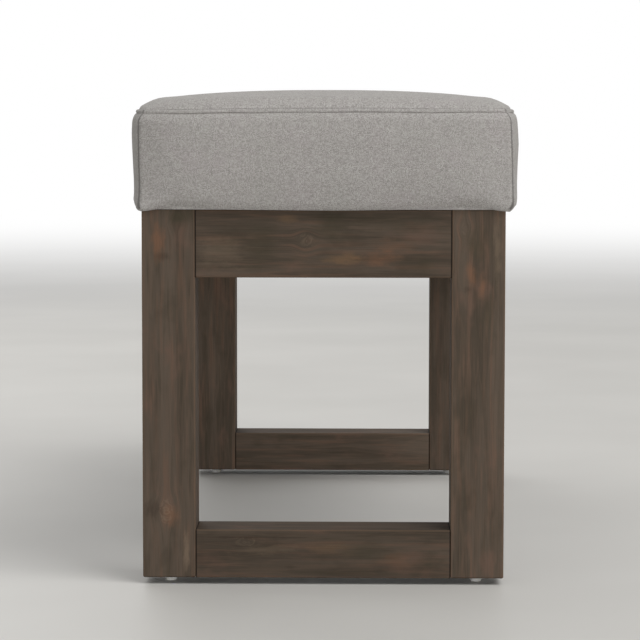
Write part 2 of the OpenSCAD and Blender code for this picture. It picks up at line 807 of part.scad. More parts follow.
leg(-1, -1);  // leg_front_left
leg(1, -1);  // leg_front_right
leg(-1, 1);  // leg_rear_left
leg(1, 1);  // leg_rear_right
end_apron(-1);  // end_apron_front
end_apron(1);  // end_apron_rear
side_apron(-1);  // side_apron_left
side_apron(1);  // side_apron_right
end_stretcher(-1);  // end_stretcher_front
end_stretcher(1);  // end_stretcher_rear
cross_rail();
corner_brace(-1, -1);  // corner_brace_front_left
corner_brace(1, -1);  // corner_brace_front_right
corner_brace(-1, 1);  // corner_brace_rear_left
corner_brace(1, 1);  // corner_brace_rear_right
end_apron_dowels();
side_apron_dowels();
stretcher_dowels();
cross_rail_dowels();
hanger_bolts();
bolt_washers();
bolt_nuts();
brace_screws();
seat_screws();
glide(-1, -1);  // glide_front_left
glide(1, -1);  // glide_front_right
glide(-1, 1);  // glide_rear_left
glide(1, 1);  // glide_rear_right
glide_nails();
seat_board();
foam_block();
wadding();
cover_top();
cover_end(-1);  // cover_front
cover_end(1);  // cover_rear
cover_side(-1);  // cover_left
cover_side(1);  // cover_right
cover_staples();
dust_cover();
dust_cover_staples();
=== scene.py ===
import math
from types import SimpleNamespace

import bmesh
import bpy
import numpy as np
from mathutils import Matrix, Vector


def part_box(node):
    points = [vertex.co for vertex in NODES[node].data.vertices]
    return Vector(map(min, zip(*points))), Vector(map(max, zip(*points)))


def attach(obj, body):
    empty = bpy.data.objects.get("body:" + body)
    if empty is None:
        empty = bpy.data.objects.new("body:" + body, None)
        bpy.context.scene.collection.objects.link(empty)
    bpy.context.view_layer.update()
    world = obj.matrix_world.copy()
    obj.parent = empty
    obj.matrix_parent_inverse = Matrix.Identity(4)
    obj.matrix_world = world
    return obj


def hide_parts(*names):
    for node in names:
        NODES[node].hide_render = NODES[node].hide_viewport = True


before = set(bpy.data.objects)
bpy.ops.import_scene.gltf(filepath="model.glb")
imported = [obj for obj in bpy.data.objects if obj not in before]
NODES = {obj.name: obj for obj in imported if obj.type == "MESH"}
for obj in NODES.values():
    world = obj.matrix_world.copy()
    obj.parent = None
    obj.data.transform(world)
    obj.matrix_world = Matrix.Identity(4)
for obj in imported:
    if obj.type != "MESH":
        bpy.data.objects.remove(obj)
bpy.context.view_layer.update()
BODY = "root"
MM = 0.001


def in_mm(**sizes):
    """A group of sizes, given in millimetres and kept in metres."""
    return SimpleNamespace(**{name: size * MM for name, size in sizes.items()})


# Places taken from the frame
FRAME_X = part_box("leg_rear_right")[1].x
FRAME_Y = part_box("leg_rear_right")[1].y
CUSHION_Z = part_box("cover_front")[0].z
DECK_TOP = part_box("seat_board")[1].z
FOAM_LOW, FOAM_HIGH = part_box("foam_block")

# Sizes of the cushion, as in the part's source
OVERHANG = 4.5 * MM
CUSHION_X = FRAME_X + OVERHANG
CUSHION_Y = FRAME_Y + OVERHANG
BOXING_H = 101.6 * MM
RIDGE_H = 5 * MM
RIDGE_LEAN = 0.9 * MM
RIDGE_TOP_H = BOXING_H + RIDGE_H
CROWN_H = 20.3 * MM
CROWN_POWER = 2.6
SHOULDER_SHARE = 0.39
SHOULDER_RUN = 31 * MM
SIDE_SWELL = 11.5 * MM
SWELL_POWER = 2.5
FOOT_SWELL_SHARE = 0.75
CORNER_RUN = 90 * MM
SIDE_DRAW = 1 * MM
ROLL_R = 14 * MM
ROLL_H = 10 * MM
COVER_T = 1.2 * MM
HEM_W = 38 * MM
FULL_H = 0.75 * BOXING_H

# How far the padding pushes the middle of a slack panel out in the cloth simulation, and how the slack grows
# away from the seams
PUFF = 2.6 * MM
SLACK = PUFF
SLACK_POWER = 1.5
SLACK_RUN = in_mm(wall=85, top_from=50, top=150)

# Seams, with the allowances that show beside them, the crease, the stitched band above it, and its stitches
SEAM = in_mm(depth=0.6, width=0.8, start=4)
ALLOWANCE = in_mm(rise=0.9, at=3.6, width=2.6)
CREASE = in_mm(depth=0.5, width=0.55)
CREASE_AT_CORNER = 0.4
BAND = in_mm(bulge=0.55, top_in=1.5, top_drop=1.1)
STITCH = in_mm(pitch=3.8, length=2.9, thread=0.28)

# Where the walls ripple: not at the taut corners, and most beside the crease and above the foot
WAVES = in_mm(taut=12, fade=20, pucker=9, foot_h=10)

# The top beside its seam: the dip of the seam, the fuller shoulder, and the puckers between them
TOP = in_mm(seam=1.6, fade=25, rise=1.1, rise_at=18, rise_run=12, pucker_start=3, pucker_at=5, pucker=6)

# The foot of a wall: how far it hangs below the frame's top all along, in its middle and at its corners, how
# far it lifts beside them, and how far it is drawn in or flares as it hangs
FOOT = in_mm(hang=0.6, middle=1.3, corner=3, corner_run=18, lift=2.6, lift_at=40, lift_run=30)
HEM_FOLD = in_mm(at=2, run=7, draw=1.2, flare=2.6, flare_run=40)
FLARE_SHARE = 0.4

# How unevenly the cloth lies, sewn by hand as it is: how much, over what length, and the seed
RIPPLES = {
    "crease line": (0.4 * MM, 38 * MM, 10),
    "crease pucker": (0.2 * MM, 7 * MM, 20),
    "wall": (0.45 * MM, 70 * MM, 30),
    "foot pucker": (0.3 * MM, 14 * MM, 40),
    "foot": (0.35 * MM, 70 * MM, 50),
    "crease depth": (0.35, 16 * MM, 60),
    "top pucker": (0.2 * MM, 8 * MM, 61),
    "top": (0.5 * MM, 95 * MM, 66),
    "band": (0.3, 9 * MM, 70),
    "dust sheet": (0.4, 60 * MM, 70),
    "seam shade": (0.22, 19 * MM, 80),
}

# How dark the painted shade in the seams gets, of 1, and how wide
CREASE_SHADE, BAND_SHADE, TOP_SHADE = 0.4, 0.72, 0.7
SHADE = in_mm(crease=0.6, top=0.9, corner=1.05, corner_from=3)

# Sizes of patterns
YARN_PITCH = 1.1 * MM
SLUB_L = 2.6 * MM
PLY_T = 1.7 * MM
DOT_PITCH = 1.6 * MM
FOAM_CELL = 1.9 * MM

# How far the sewing pulls the left (-1) and right (1) front corner sideways, at heights above the underside
PULL_H = np.array([0, 5, 11, 25, 78, 97, 107]) * MM
PULL_REACH = 60 * MM
PULLS = {
    -1: np.array([0.3, 0.7, 0.9, 1.8, 1.2, 1.4, 1.6]) * MM,
    1: np.array([0.8, 3.0, 3.9, 3.1, 1.0, 0.2, -0.4]) * MM,
}

# How far the sewing draws the stitched band down: along the front edge, and elsewhere
DROP_X = np.array([-179, -129, -113, -96, -63, -30, -13, 36, 80, 142, 169, 185]) * MM
FRONT_DROP = np.array([1.8, 2.1, 1.8, 1.1, 0.95, 0.7, 0.35, 0.55, 0.85, 1.1, 0.7, 0.4]) * MM
USUAL_DROP = 0.9 * MM
DROP_H = np.array([60, 98, 107, 117]) * MM
DROP_SHARE = np.array([0, 1, 1, 0])

# How much fuller the padding makes the right (1) and left (3) wall, by height, as the photograph shows
FILL_H = np.array([0, 3, 6, 9, 13, 18, 30, 45, 68, 78, 90, 95, 100, 117]) * MM
FILLS = {
    1: np.array([0, 1.3, 1.8, 1.2, 0.7, 0, -0.35, -0.3, 0.4, 0, -0.2, -0.4, 0.1, 0.1]) * MM,
    3: np.array([0, 2.0, 2.8, 1.9, 0.7, 0, -0.45, -0.4, -0.3, -0.3, -0.2, -0.4, -0.2, 0]) * MM,
}

# The front wall turns away at its left corner, and is drawn in towards its foot between the corners
TURN = in_mm(most=4.5, run=8)
TUCK = in_mm(most=3.5, h=60, run=40)


# The helpers that every material uses


def srgb(hex_colour, tone=1.0):
    """An sRGB hex colour as linear red, green, blue and alpha, made lighter or darker by a tone."""
    parts = [int(hex_colour[k:k + 2], 16) / 255 for k in (1, 3, 5)]
    linear = [c / 12.92 if c <= 0.04045 else ((c + 0.055) / 1.055) ** 2.4 for c in parts]
    return (*[c * tone for c in linear], 1)


def add(tree, kind, inputs=(), out=0, **settings):
    """Adds a node with its settings. Its inputs are in their order, or by name or number, and each is a value
    or another node's output to link. Returns the output that out names, or the outputs that it slices."""
    made = tree.nodes.new(kind)
    for name, value in settings.items():
        setattr(made, name, value)
    for key, value in inputs.items() if isinstance(inputs, dict) else enumerate(inputs):
        if isinstance(value, bpy.types.NodeSocket):
            tree.links.new(value, made.inputs[key])
        else:
            made.inputs[key].default_value = value
    return made.outputs[out] if made.outputs else made


def new_material(name):
    """A new material, its empty tree, and the place on the piece in metres."""
    made = bpy.data.materials.new(name)
    made.use_nodes = True
    tree = made.node_tree
    tree.nodes.clear()
    return made, tree, add(tree, "ShaderNodeTexCoord", out="Object")


def finish(made, height, strength, depth, **shader):
    """Ends a material in its shader, over relief of a height pattern whose real depth is in millimetres."""
    tree = made.node_tree
    bump = add(tree, "ShaderNodeBump", {"Strength": strength, "Distance": depth * MM, "Height": height})
    inputs = {name.replace("_", " "): value for name, value in shader.items()}
    surface = add(tree, "ShaderNodeBsdfPrincipled", {**inputs, "Normal": bump})
    add(tree, "ShaderNodeOutputMaterial", {"Surface": surface})
    return made


def clouds(tree, place, size, shift=(0, 0, 0), detail=3.0, rough=0.5):
    """Soft random shading from 0 to 1, whose clouds have these sizes along the axes, in millimetres."""
    scale = [1 / (length * MM) for length in size]
    spot = add(tree, "ShaderNodeMapping", {"Vector": place, "Location": shift, "Scale": scale})
    return add(tree, "ShaderNodeTexNoise", {"Vector": spot, "Scale": 1, "Detail": detail, "Roughness": rough})


def coats(tree, first, *layers, tone=1.0):
    """Lays colours over a first one, each as its pattern goes from low to high, up to a share of 1 if none is
    given. All are sRGB hex values, made lighter or darker by a tone."""
    colour = srgb(first, tone)
    for over, pattern, low, high, *share in layers:
        reach = (pattern, low, high, 0, share[0] if share else 1)
        cover = add(tree, "ShaderNodeMapRange", reach, interpolation_type="SMOOTHSTEP")
        colour = add(tree, "ShaderNodeMix", {0: cover, 6: colour, 7: srgb(over, tone)}, 2, data_type="RGBA")
    return colour


# Wood

GRAIN_TURNS = {"x": (0, math.radians(-90), 0), "y": (math.radians(90), 0, 0), "z": (0, 0, 0)}


def board_place(tree, place, node, grain):
    """The place on a board from its centre, turned so that the grain runs along Z, and half the board's sizes
    across the face, through it and along the grain."""
    low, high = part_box(node)
    spot = add(tree, "ShaderNodeMapping", {"Vector": place, "Location": -(low + high) / 2})
    half = (high - low) / 2
    sizes = {"x": (half.z, half.y, half.x), "y": (half.x, half.z, half.y), "z": half}[grain]
    return add(tree, "ShaderNodeMapping", {"Vector": spot, "Rotation": GRAIN_TURNS[grain]}), sizes


def near_faces(tree, distances, sizes, wide):
    """1 where a board's places are all within about a width of these half sizes, and 0 elsewhere."""
    share = 1.0
    for distance, size in zip(distances, sizes):
        reach = add(tree, "ShaderNodeMath", (distance,), operation="ABSOLUTE")
        near = add(tree, "ShaderNodeMapRange", (reach, size - wide * MM, size - 0.3 * wide * MM))
        share = add(tree, "ShaderNodeMath", (share, near), operation="MULTIPLY")
    return share


def oval(tree, place, spot):
    """The place on a board measured from the middle of an oval, and how far that is, 1 at its rim. spot is
    its place along and across the board, its half length and its half width, in millimetres."""
    along, across, long, wide = spot
    moved = {"Location": (-across / wide, 0, -along / long), "Scale": (1 / (wide * MM), 0, 1 / (long * MM))}
    off = add(tree, "ShaderNodeMapping", {"Vector": place, **moved})
    return off, add(tree, "ShaderNodeVectorMath", (off,), "Value", operation="LENGTH")


def grain_round(tree, place, knot):
    """Bends the place on a board, so that its grain flows round a knot."""
    off, far = oval(tree, place, knot)
    near = add(tree, "ShaderNodeMapRange", (far, 2.6, 0), interpolation_type="SMOOTHERSTEP")
    push = add(tree, "ShaderNodeVectorMath", (off, (-0.9 * knot[3] * MM, 0, 0)), operation="MULTIPLY")
    return add(tree, "ShaderNodeVectorMath", (push, near, place), operation="MULTIPLY_ADD")


def growth_rings(tree, broad, count):
    """Growth rings, from 0 to 0.5, along the levels of a broad pattern."""
    levels = add(tree, "ShaderNodeMath", (broad, count), operation="MULTIPLY")
    return add(tree, "ShaderNodeMath", (levels, 0.5), operation="PINGPONG")


# What the thin stain does to the pine: it greys it, and where the wood is soft, resinous or worn it turns
# olive, dark, red or pale
STAIN = {"olive": "#3E3B2D", "dark": "#382F28", "red": "#7B5944", "amber": "#7C6147", "pale": "#837260"}


def stained_pine(node, grain, seed, tone):
    """Knotty pine, sawn and sanded, under a thin grey-brown wiping stain with a dead flat lacquer. The soft
    early wood drinks the stain and goes a dull olive, the hard late wood stays a warm brown in long streaks,
    and blotches and the broken rings of small knots show where the board took more of it or less."""
    made, tree, place = new_material("stained_pine_" + node)
    place, half = board_place(tree, place, node, grain)
    across, deep, along = add(tree, "ShaderNodeSeparateXYZ", (place,), slice(3))
    shift = (seed, 2 * seed, 3 * seed)
    knots = KNOTS.get(node, ())
    bent = place
    for knot in knots:
        bent = grain_round(tree, bent, knot)
    fibre = clouds(tree, bent, (0.9, 0.9, 50), shift)
    streak = clouds(tree, bent, (5.5, 5.5, 95), shift, rough=0.6)
    broad = clouds(tree, bent, (17, 17, 230), shift)
    blotch = clouds(tree, place, (30, 30, 62), shift, rough=0.6)
    ragged = clouds(tree, bent, (6, 6, 16), shift, rough=0.7)
    figure = growth_rings(tree, broad, 9)
    layers = [
        ("#5B5046", broad, 0.3, 0.7), ("#6A5345", streak, 0.5, 0.7, 0.5),
        ("#3E382E", streak, 0.46, 0.3, 0.42), ("#6B584A", figure, 0.25, 0.5, 0.18),
        ("#3D372D", blotch, 0.53, 0.72, 0.4), ("#6E564A", blotch, 0.46, 0.28, 0.42),
    ]
    for stain, share, *spot in BLOTCHES.get(node, ()):
        far = oval(tree, place, spot)[1]
        edge = add(tree, "ShaderNodeMath", (ragged, 2.6, far), operation="MULTIPLY_ADD")
        layers.append((STAIN[stain], edge, 2.9, 1.3, share))
    for knot in knots:
        far = oval(tree, place, knot)[1]
        turns = add(tree, "ShaderNodeMath", (ragged, 3.4, far), operation="MULTIPLY_ADD")
        lines = add(tree, "ShaderNodeMath", (turns, 0.34), operation="PINGPONG")
        broken = add(tree, "ShaderNodeMapRange", (streak, 0.44, 0.58, 0, 0.3))
        core = add(tree, "ShaderNodeMapRange", (far, 1.6, 0.6), interpolation_type="SMOOTHSTEP")
        marks = add(tree, "ShaderNodeMath", (lines, core), operation="MULTIPLY")
        layers.append((STAIN["pale"], marks, 0.06, 0.34, broken))
    layers.append(("#342C25", fibre, 0.5, 0.75, 0.3))
    # Lighter along the long edges: wear, and a painted highlight where the eased edges catch the light
    layers.append(("#6E5B4B", near_faces(tree, (across, deep), half, 2.4), 0.1, 0.9, 0.4))
    # Near black at the ends of the rails, where they meet the legs: stain gathered in the joint, and painted
    # shade of the narrow gap there
    if grain != "z":
        layers.append(("#15110E", near_faces(tree, [along], half[2:], 1.6), 0, 1, 0.9))
    colour = coats(tree, "#4A4138", *layers, tone=tone)
    height = add(tree, "ShaderNodeMath", (figure, 0.5, fibre), operation="MULTIPLY_ADD")
    finish(made, height, 0.35, 0.15, Base_Color=colour, Roughness=0.68, IOR=1.5, Specular_IOR_Level=0.05)
    paint(made, node)


def bare_wood(name, node, grain, seed, pale, dark, late):
    """Planed wood with no finish, pine or beech: dry and pale, with its growth rings and a fine fibre."""
    made, tree, place = new_material(name)
    place = board_place(tree, place, node, grain)[0]
    shift = (seed, 2 * seed, 3 * seed)
    fibre = clouds(tree, place, (0.9, 0.9, 33), shift, 2)
    broad = clouds(tree, place, (22, 22, 180), shift, 2)
    figure = growth_rings(tree, broad, 11)
    colour = coats(
        tree, pale, (dark, broad, 0.2, 0.8), (late, figure, 0.15, 0.5, 0.5), (late, fibre, 0.45, 0.75, 0.35),
    )
    finish(made, fibre, 0.4, 0.12, Base_Color=colour, Roughness=0.72, IOR=1.5, Specular_IOR_Level=0.25)
    paint(made, node)


def birch_plywood():
    """Rotary-cut birch plywood: pale faces with a wide wavy figure, and thin plies that show at its edges."""
    made, tree, place = new_material("birch_plywood")
    wave = clouds(tree, place, (70, 400, 70), detail=4, rough=0.6)
    figure = growth_rings(tree, wave, 14)
    height = add(tree, "ShaderNodeSeparateXYZ", (place,), 2)
    plies = add(tree, "ShaderNodeMath", (height, PLY_T), operation="PINGPONG")
    colour = coats(
        tree, "#C7A77A", ("#A8845A", figure, 0.1, 0.5, 0.55),
        ("#7E5F3E", plies, 0.45 * PLY_T, 0.55 * PLY_T, 0.3),
    )
    return finish(made, wave, 0.3, 0.1, Base_Color=colour, Roughness=0.68, Specular_IOR_Level=0.3)


# Metal, plastic and padding


def plated_steel(name, pale, dark, rough):
    """Plated steel hardware: a thin bright skin, dulled in fine patches by its dry passivation."""
    made, tree, place = new_material(name)
    patches = clouds(tree, place, (4, 4, 4))
    grit = clouds(tree, place, (0.5, 0.5, 0.5), detail=2)
    colour = coats(tree, pale, (dark, patches, 0.2, 0.8))
    dull = add(tree, "ShaderNodeMapRange", (grit, 0.3, 0.7, rough - 0.08, rough + 0.12))
    return finish(made, grit, 0.25, 0.05, Base_Color=colour, Metallic=1.0, Roughness=dull)


def moulded_polypropylene():
    """Natural polypropylene, moulded: milky and slightly waxy, with fine scuffs from the floor."""
    made, tree, place = new_material("moulded_polypropylene")
    scuffs = clouds(tree, place, (1.4, 8, 2), rough=0.6)
    colour = coats(tree, "#F7F6F2", ("#DAD7D0", scuffs, 0.5, 0.75, 0.5))
    return finish(
        made, scuffs, 0.3, 0.06, Base_Color=colour, Roughness=0.4, IOR=1.49, Subsurface_Weight=0.15,
        Subsurface_Radius=(0.004, 0.004, 0.003), Subsurface_Scale=0.5,
    )


def cut_foam():
    """Open-cell polyurethane foam, cut with a hot wire: cream, matt and full of tiny pits."""
    made, tree, place = new_material("cut_foam")
    cells = add(tree, "ShaderNodeTexVoronoi", {"Vector": place, "Scale": 1 / FOAM_CELL}, "Distance")
    colour = coats(tree, "#D5C795", ("#EBE2C0", cells, 0.1, 0.5))
    return finish(made, cells, 0.6, 0.5, Base_Color=colour, Roughness=0.95, Specular_IOR_Level=0.2)


def bonded_wadding():
    """Resin-bonded polyester wadding: white crimped fibres in a springy, cloudy layer."""
    made, tree, place = new_material("bonded_wadding")
    loft = clouds(tree, place, (11, 11, 11), detail=5, rough=0.7)
    hairs = clouds(tree, place, (0.7, 2.5, 1.1), detail=2)
    colour = coats(tree, "#E2E1DC", ("#F8F8F5", loft, 0.2, 0.8))
    height = add(tree, "ShaderNodeMath", (hairs, 0.3, loft), operation="MULTIPLY_ADD")
    return finish(
        made, height, 0.7, 1.5, Base_Color=colour, Roughness=1.0, Specular_IOR_Level=0.15, Sheen_Weight=0.2,
    )


def spunbond_cloth():
    """Black spunbond polypropylene: flat and slightly shiny, pressed with a grid of tiny bonded dots."""
    made, tree, place = new_material("spunbond_cloth")
    fibres = clouds(tree, place, (0.7, 0.7, 0.7), rough=0.6)
    grid = add(tree, "ShaderNodeVectorMath", (place, [math.pi / DOT_PITCH] * 3), operation="MULTIPLY")
    waves = add(tree, "ShaderNodeVectorMath", (grid,), operation="SINE")
    wave_x, wave_y = add(tree, "ShaderNodeSeparateXYZ", (waves,), slice(2))
    peaks = add(tree, "ShaderNodeMath", (wave_x, wave_y), operation="MULTIPLY")
    dots = add(tree, "ShaderNodeMath", (peaks,), operation="ABSOLUTE")
    colour = coats(tree, "#1E1E1F", ("#39393A", fibres, 0.3, 0.7), ("#161617", dots, 0.7, 0.85, 0.6))
    height = add(tree, "ShaderNodeMath", (fibres, dots), operation="SUBTRACT")
    return finish(made, height, 0.5, 0.15, Base_Color=colour, Roughness=0.62, Specular_IOR_Level=0.35)


def yarns(tree, along, across, seed):
    """One set of parallel yarns: how high they stand, and how pale each stretch of yarn is, from 0 to 1."""
    turns = add(tree, "ShaderNodeMath", (across, math.pi / YARN_PITCH), operation="MULTIPLY")
    wave = add(tree, "ShaderNodeMath", (turns,), operation="SINE")
    height = add(tree, "ShaderNodeMath", (wave,), operation="ABSOLUTE")
    steps = add(tree, "ShaderNodeMath", (across, YARN_PITCH), operation="DIVIDE")
    number = add(tree, "ShaderNodeMath", (steps,), operation="FLOOR")
    strand = add(tree, "ShaderNodeCombineXYZ", (along, number, seed))
    return height, clouds(tree, strand, (SLUB_L / MM, 130, 1000))


def heathered_weave():
    """Upholstery cloth in a plain weave of slubby polyester yarns, piece dyed a warm grey: matt, with a short
    dry nap, soft slubs, and pale and dark flecks. The real yarns lie about 0.6 mm apart, and are drawn 1.1 mm
    apart so that they show."""
    made, tree = new_material("heathered_weave")[:2]
    flat = add(tree, "ShaderNodeUVMap", uv_map="cloth")
    u, v = add(tree, "ShaderNodeSeparateXYZ", (flat,), slice(2))
    warp_h, warp_shade = yarns(tree, v, u, 1.7)
    weft_h, weft_shade = yarns(tree, u, v, 5.3)
    counted = {"Vector": flat, "Scale": 1 / YARN_PITCH, "Color1": (1, 1, 1, 1), "Color2": (0, 0, 0, 1)}
    over = add(tree, "ShaderNodeTexChecker", counted, "Fac")
    shade = add(tree, "ShaderNodeMix", {0: over, 2: weft_shade, 3: warp_shade})
    height = add(tree, "ShaderNodeMix", {0: over, 2: weft_h, 3: warp_h})
    cloud = clouds(tree, flat, (17, 17, 1000), rough=0.6)
    tint = clouds(tree, flat, (42, 42, 1000), (3, 5, 0), rough=0.6)
    fleck = clouds(tree, flat, (1.0, 1.0, 1000), (7, 1, 0), 2, 0.6)
    slub = clouds(tree, flat, (7, 4, 1000), (2, 9, 0), 2, 0.6)
    # Painted shade: the cloth is darkened along its seams, its crease, the top's seam and the corners, by the
    # marks that the cover's points carry
    painted_seam_shade = add(tree, "ShaderNodeAttribute", out="Fac", attribute_name="painted_seam_shade")
    colour = coats(
        tree, "#898582", ("#AFACA9", shade, 0.3, 0.7), ("#A29E9B", cloud, 0.35, 0.65, 0.2),
        ("#A59B9E", tint, 0.5, 0.7, 0.2), ("#9A9A94", tint, 0.5, 0.3, 0.2),
        ("#BBB8B4", slub, 0.5, 0.72, 0.15), ("#7B7875", slub, 0.5, 0.28, 0.15),
        ("#D0CDC9", fleck, 0.55, 0.7, 0.4), ("#605D5A", fleck, 0.45, 0.3, 0.4), ("#4F4C4A", painted_seam_shade, 0, 1, 0.7),
    )
    return finish(
        made, height, 0.5, 0.3, Base_Color=colour, Roughness=0.92, IOR=1.5, Specular_IOR_Level=0.2,
        Sheen_Weight=0.15, Sheen_Roughness=0.45, Sheen_Tint=srgb("#D8D6D2"),
    )


def spun_thread():
    """Bonded polyester sewing thread, in the cloth's grey, with a faint shine on its twist."""
    made, tree, place = new_material("spun_thread")
    twist = clouds(tree, place, (0.7, 0.7, 0.4), detail=2)
    colour = coats(tree, "#85817D", ("#A19D99", twist, 0.2, 0.8))
    return finish(made, twist, 0.4, 0.1, Base_Color=colour, Roughness=0.6, Sheen_Weight=0.1)


# The shape of the cushion


def share_of(x, run):
    """How far x has come on its way from 0 to run, from 0 to 1."""
    return np.clip(x / run, 0, 1)


def bell(x, wide):
    """A smooth bump, 1 at 0."""
    return np.exp(-(x / wide) ** 2)


def roll(x):
    """Roll of a side towards a seam, x past the height where the roll starts."""
    x = np.clip(x, 0, ROLL_H)
    return ROLL_R - np.sqrt(ROLL_R ** 2 - x ** 2)


def inset_at(h):
    """Distance of the corner edge inside its fullest place, at height h."""
    draw = SIDE_DRAW * np.clip(1 - h / FULL_H, 0, 1) ** 2
    boxing = draw + roll(ROLL_H - h) + roll(h - BOXING_H + ROLL_H)
    ridge = roll(ROLL_H) + RIDGE_LEAN * (h - BOXING_H) / RIDGE_H
    return np.where(h <= BOXING_H, boxing, ridge)


def swell(station, half_l, h):
    """Swell of a side at a station from -1 to 1 along it and a height."""
    share = FOOT_SWELL_SHARE + (1 - FOOT_SWELL_SHARE) * np.sin(np.pi / 2 * share_of(h, FULL_H))
    along = share_of((1 - np.abs(station)) * half_l, CORNER_RUN)
    return SIDE_SWELL * share * (1 - (1 - along) ** SWELL_POWER)


def wall_slack(h, d):
    """How far inside its filled shape a wall lies before the padding pushes it out, d from a corner."""
    by_height = np.sin(np.pi * share_of(h, BOXING_H)) ** SLACK_POWER
    return SLACK * by_height * (1 - np.exp(-(d / SLACK_RUN.wall) ** SLACK_POWER))


def top_slack(in_x, in_y):
    """The same for the top, at distances in from its seam."""
    left_x, left_y = [1 - share_of(d - SLACK_RUN.top_from, SLACK_RUN.top) for d in (in_x, in_y)]
    return SLACK * (1 - left_x ** 2) * (1 - left_y ** 2)


def rise(d, reach):
    """Rise of the crown, from 0 to 1, at a distance d in from the ridge."""
    near = 1 - (1 - share_of(d, SHOULDER_RUN)) ** 2
    far = 1 - (1 - share_of(d, reach)) ** CROWN_POWER
    return SHOULDER_SHARE * near + (1 - SHOULDER_SHARE) * far


def cubic_weights(places, count):
    """Weights that read a smooth curve through count values at places from 0 to count - 1."""
    weights = np.zeros((len(places), count))
    start = np.clip(np.floor(places).astype(int), 0, count - 2)
    t = places - start
    basis = [
        -0.5 * t + t ** 2 - 0.5 * t ** 3, 1 - 2.5 * t ** 2 + 1.5 * t ** 3,
        0.5 * t + 2 * t ** 2 - 1.5 * t ** 3, -0.5 * t ** 2 + 0.5 * t ** 3,
    ]
    for k, share in enumerate(basis):
        np.add.at(weights, (np.arange(len(places)), np.clip(start - 1 + k, 0, count - 1)), share)
    return weights


def ripple(name, side, x, y=None):
    """Ripples by their row in the table, smooth through seeded random values: along x, or for sorted x along
    columns and y along rows."""
    most, spacing, seed = RIPPLES[name]
    axes = [x.ravel()] if y is None else [y, x]
    counts = [int((v.max() - v.min()) / spacing) + 3 for v in axes]
    values = np.random.default_rng(seed + side).uniform(-1, 1, counts)
    weights = [cubic_weights((v - v.min()) / spacing, count) for v, count in zip(axes, counts)]
    if y is None:
        return most * weights[0].dot(values).reshape(x.shape)
    return most * (weights[0] @ values @ weights[1].T)


def stations(half, cell, steps):
    """Stations from -1 to 1 along a side, with steps from each corner and cells between."""
    count = round((half - steps[-1]) / cell)
    inner = np.linspace(0, half - steps[-1], count + 1)
    right = np.concatenate([inner, (half - steps[:-1])[::-1]])
    return np.concatenate([-right[:0:-1], right]) / half


class Shape:
    """A sewn shape: its stations along X and Y, its rows, and whether it has its sewn details. Its four sides
    are the front, right, rear and left."""

    def __init__(self, cell, steps, rows, detailed=False):
        self.s = stations(CUSHION_X, cell, steps)
        self.t = stations(CUSHION_Y, cell, steps)
        self.rows = rows
        self.detailed = detailed
        self.counts = [len(self.s) - 1, len(self.t) - 1] * 2
        self.corners = np.cumsum([0] + self.counts[:3])
        self.around = sum(self.counts)


def placed(x, y, z):
    """Points from their places along the axes."""
    return np.stack(np.broadcast_arrays(x, y, z), -1)


def pulled(x, y, z):
    """Points, shifted near the front corners and along the stitched band as the sewing pulled the cover."""
    h = z - CUSHION_Z
    shift = 0
    for sign, pulls in PULLS.items():
        near = bell(np.hypot(CUSHION_X - sign * x, CUSHION_Y + y), PULL_REACH)
        shift = shift + near * np.interp(h, PULL_H, pulls)
    front = bell(CUSHION_Y + y, PULL_REACH)
    drop = USUAL_DROP + front * (np.interp(x, DROP_X, FRONT_DROP) - USUAL_DROP)
    turn = TURN.most * np.exp(-np.clip(CUSHION_X + x, 0, None) / TURN.run)
    turn = turn * share_of(h - HEM_FOLD.at, TURN.run)
    tuck = TUCK.most * np.clip(1 - h / TUCK.h, 0, 1) ** 2
    tuck = tuck * share_of(CUSHION_X - np.abs(x), TUCK.run)
    return placed(x + shift, y + front * (turn + tuck), z - drop * np.interp(h, DROP_H, DROP_SHARE))


def sewn_wall(side, u, d, h, out, along, up):
    """Adds the seams, the stitched band, the puckers and the hanging foot to a wall."""
    calm = 1 - bell(d, WAVES.taut)
    upright = share_of(h, SEAM.start)
    foot = share_of(h, WAVES.fade)
    head = share_of(BOXING_H - h, WAVES.fade)
    at_crease = bell(h - BOXING_H, WAVES.pucker)
    waves = foot * head * ripple("wall", side, u[0], h[:, 0])
    waves += (h < BOXING_H) * at_crease * ripple("crease pucker", side, u)
    waves += bell(h - WAVES.foot_h, WAVES.pucker) * ripple("foot pucker", side, u)
    out += calm * waves
    up += calm * at_crease * ripple("crease line", side, u)
    groove = CREASE.depth * (1 + ripple("crease depth", side, u)) * bell(h - BOXING_H, CREASE.width)
    out -= groove * (CREASE_AT_CORNER + (1 - CREASE_AT_CORNER) * calm)
    band = share_of(h - BOXING_H, RIDGE_H - BAND.top_drop)
    out += BAND.bulge * np.sin(np.pi * band) * calm * (1 + ripple("band", side, u))
    if side in FILLS:
        out += calm * np.interp(h, FILL_H, FILLS[side])
    out += ALLOWANCE.rise * bell(d - ALLOWANCE.at, ALLOWANCE.width) * upright * head
    seam = SEAM.depth * bell(d, SEAM.width) * upright
    out -= seam
    along -= np.sign(u) * seam
    hang = FOOT.middle * np.cos(np.pi * u / (2 * u.max())) ** 2
    hang = hang - FOOT.lift * bell(d - FOOT.lift_at, FOOT.lift_run)
    hang = hang + FOOT.corner * bell(d, FOOT.corner_run) + ripple("foot", side, u)
    low = share_of(h, MM) * bell(h - HEM_FOLD.at, HEM_FOLD.run)
    up -= (hang + FOOT.hang) * low
    out += (HEM_FOLD.flare * bell(d, HEM_FOLD.flare_run) - HEM_FOLD.draw + FLARE_SHARE * hang) * low
    return out, along, up


FRAME_CLEAR = 0.25 * MM


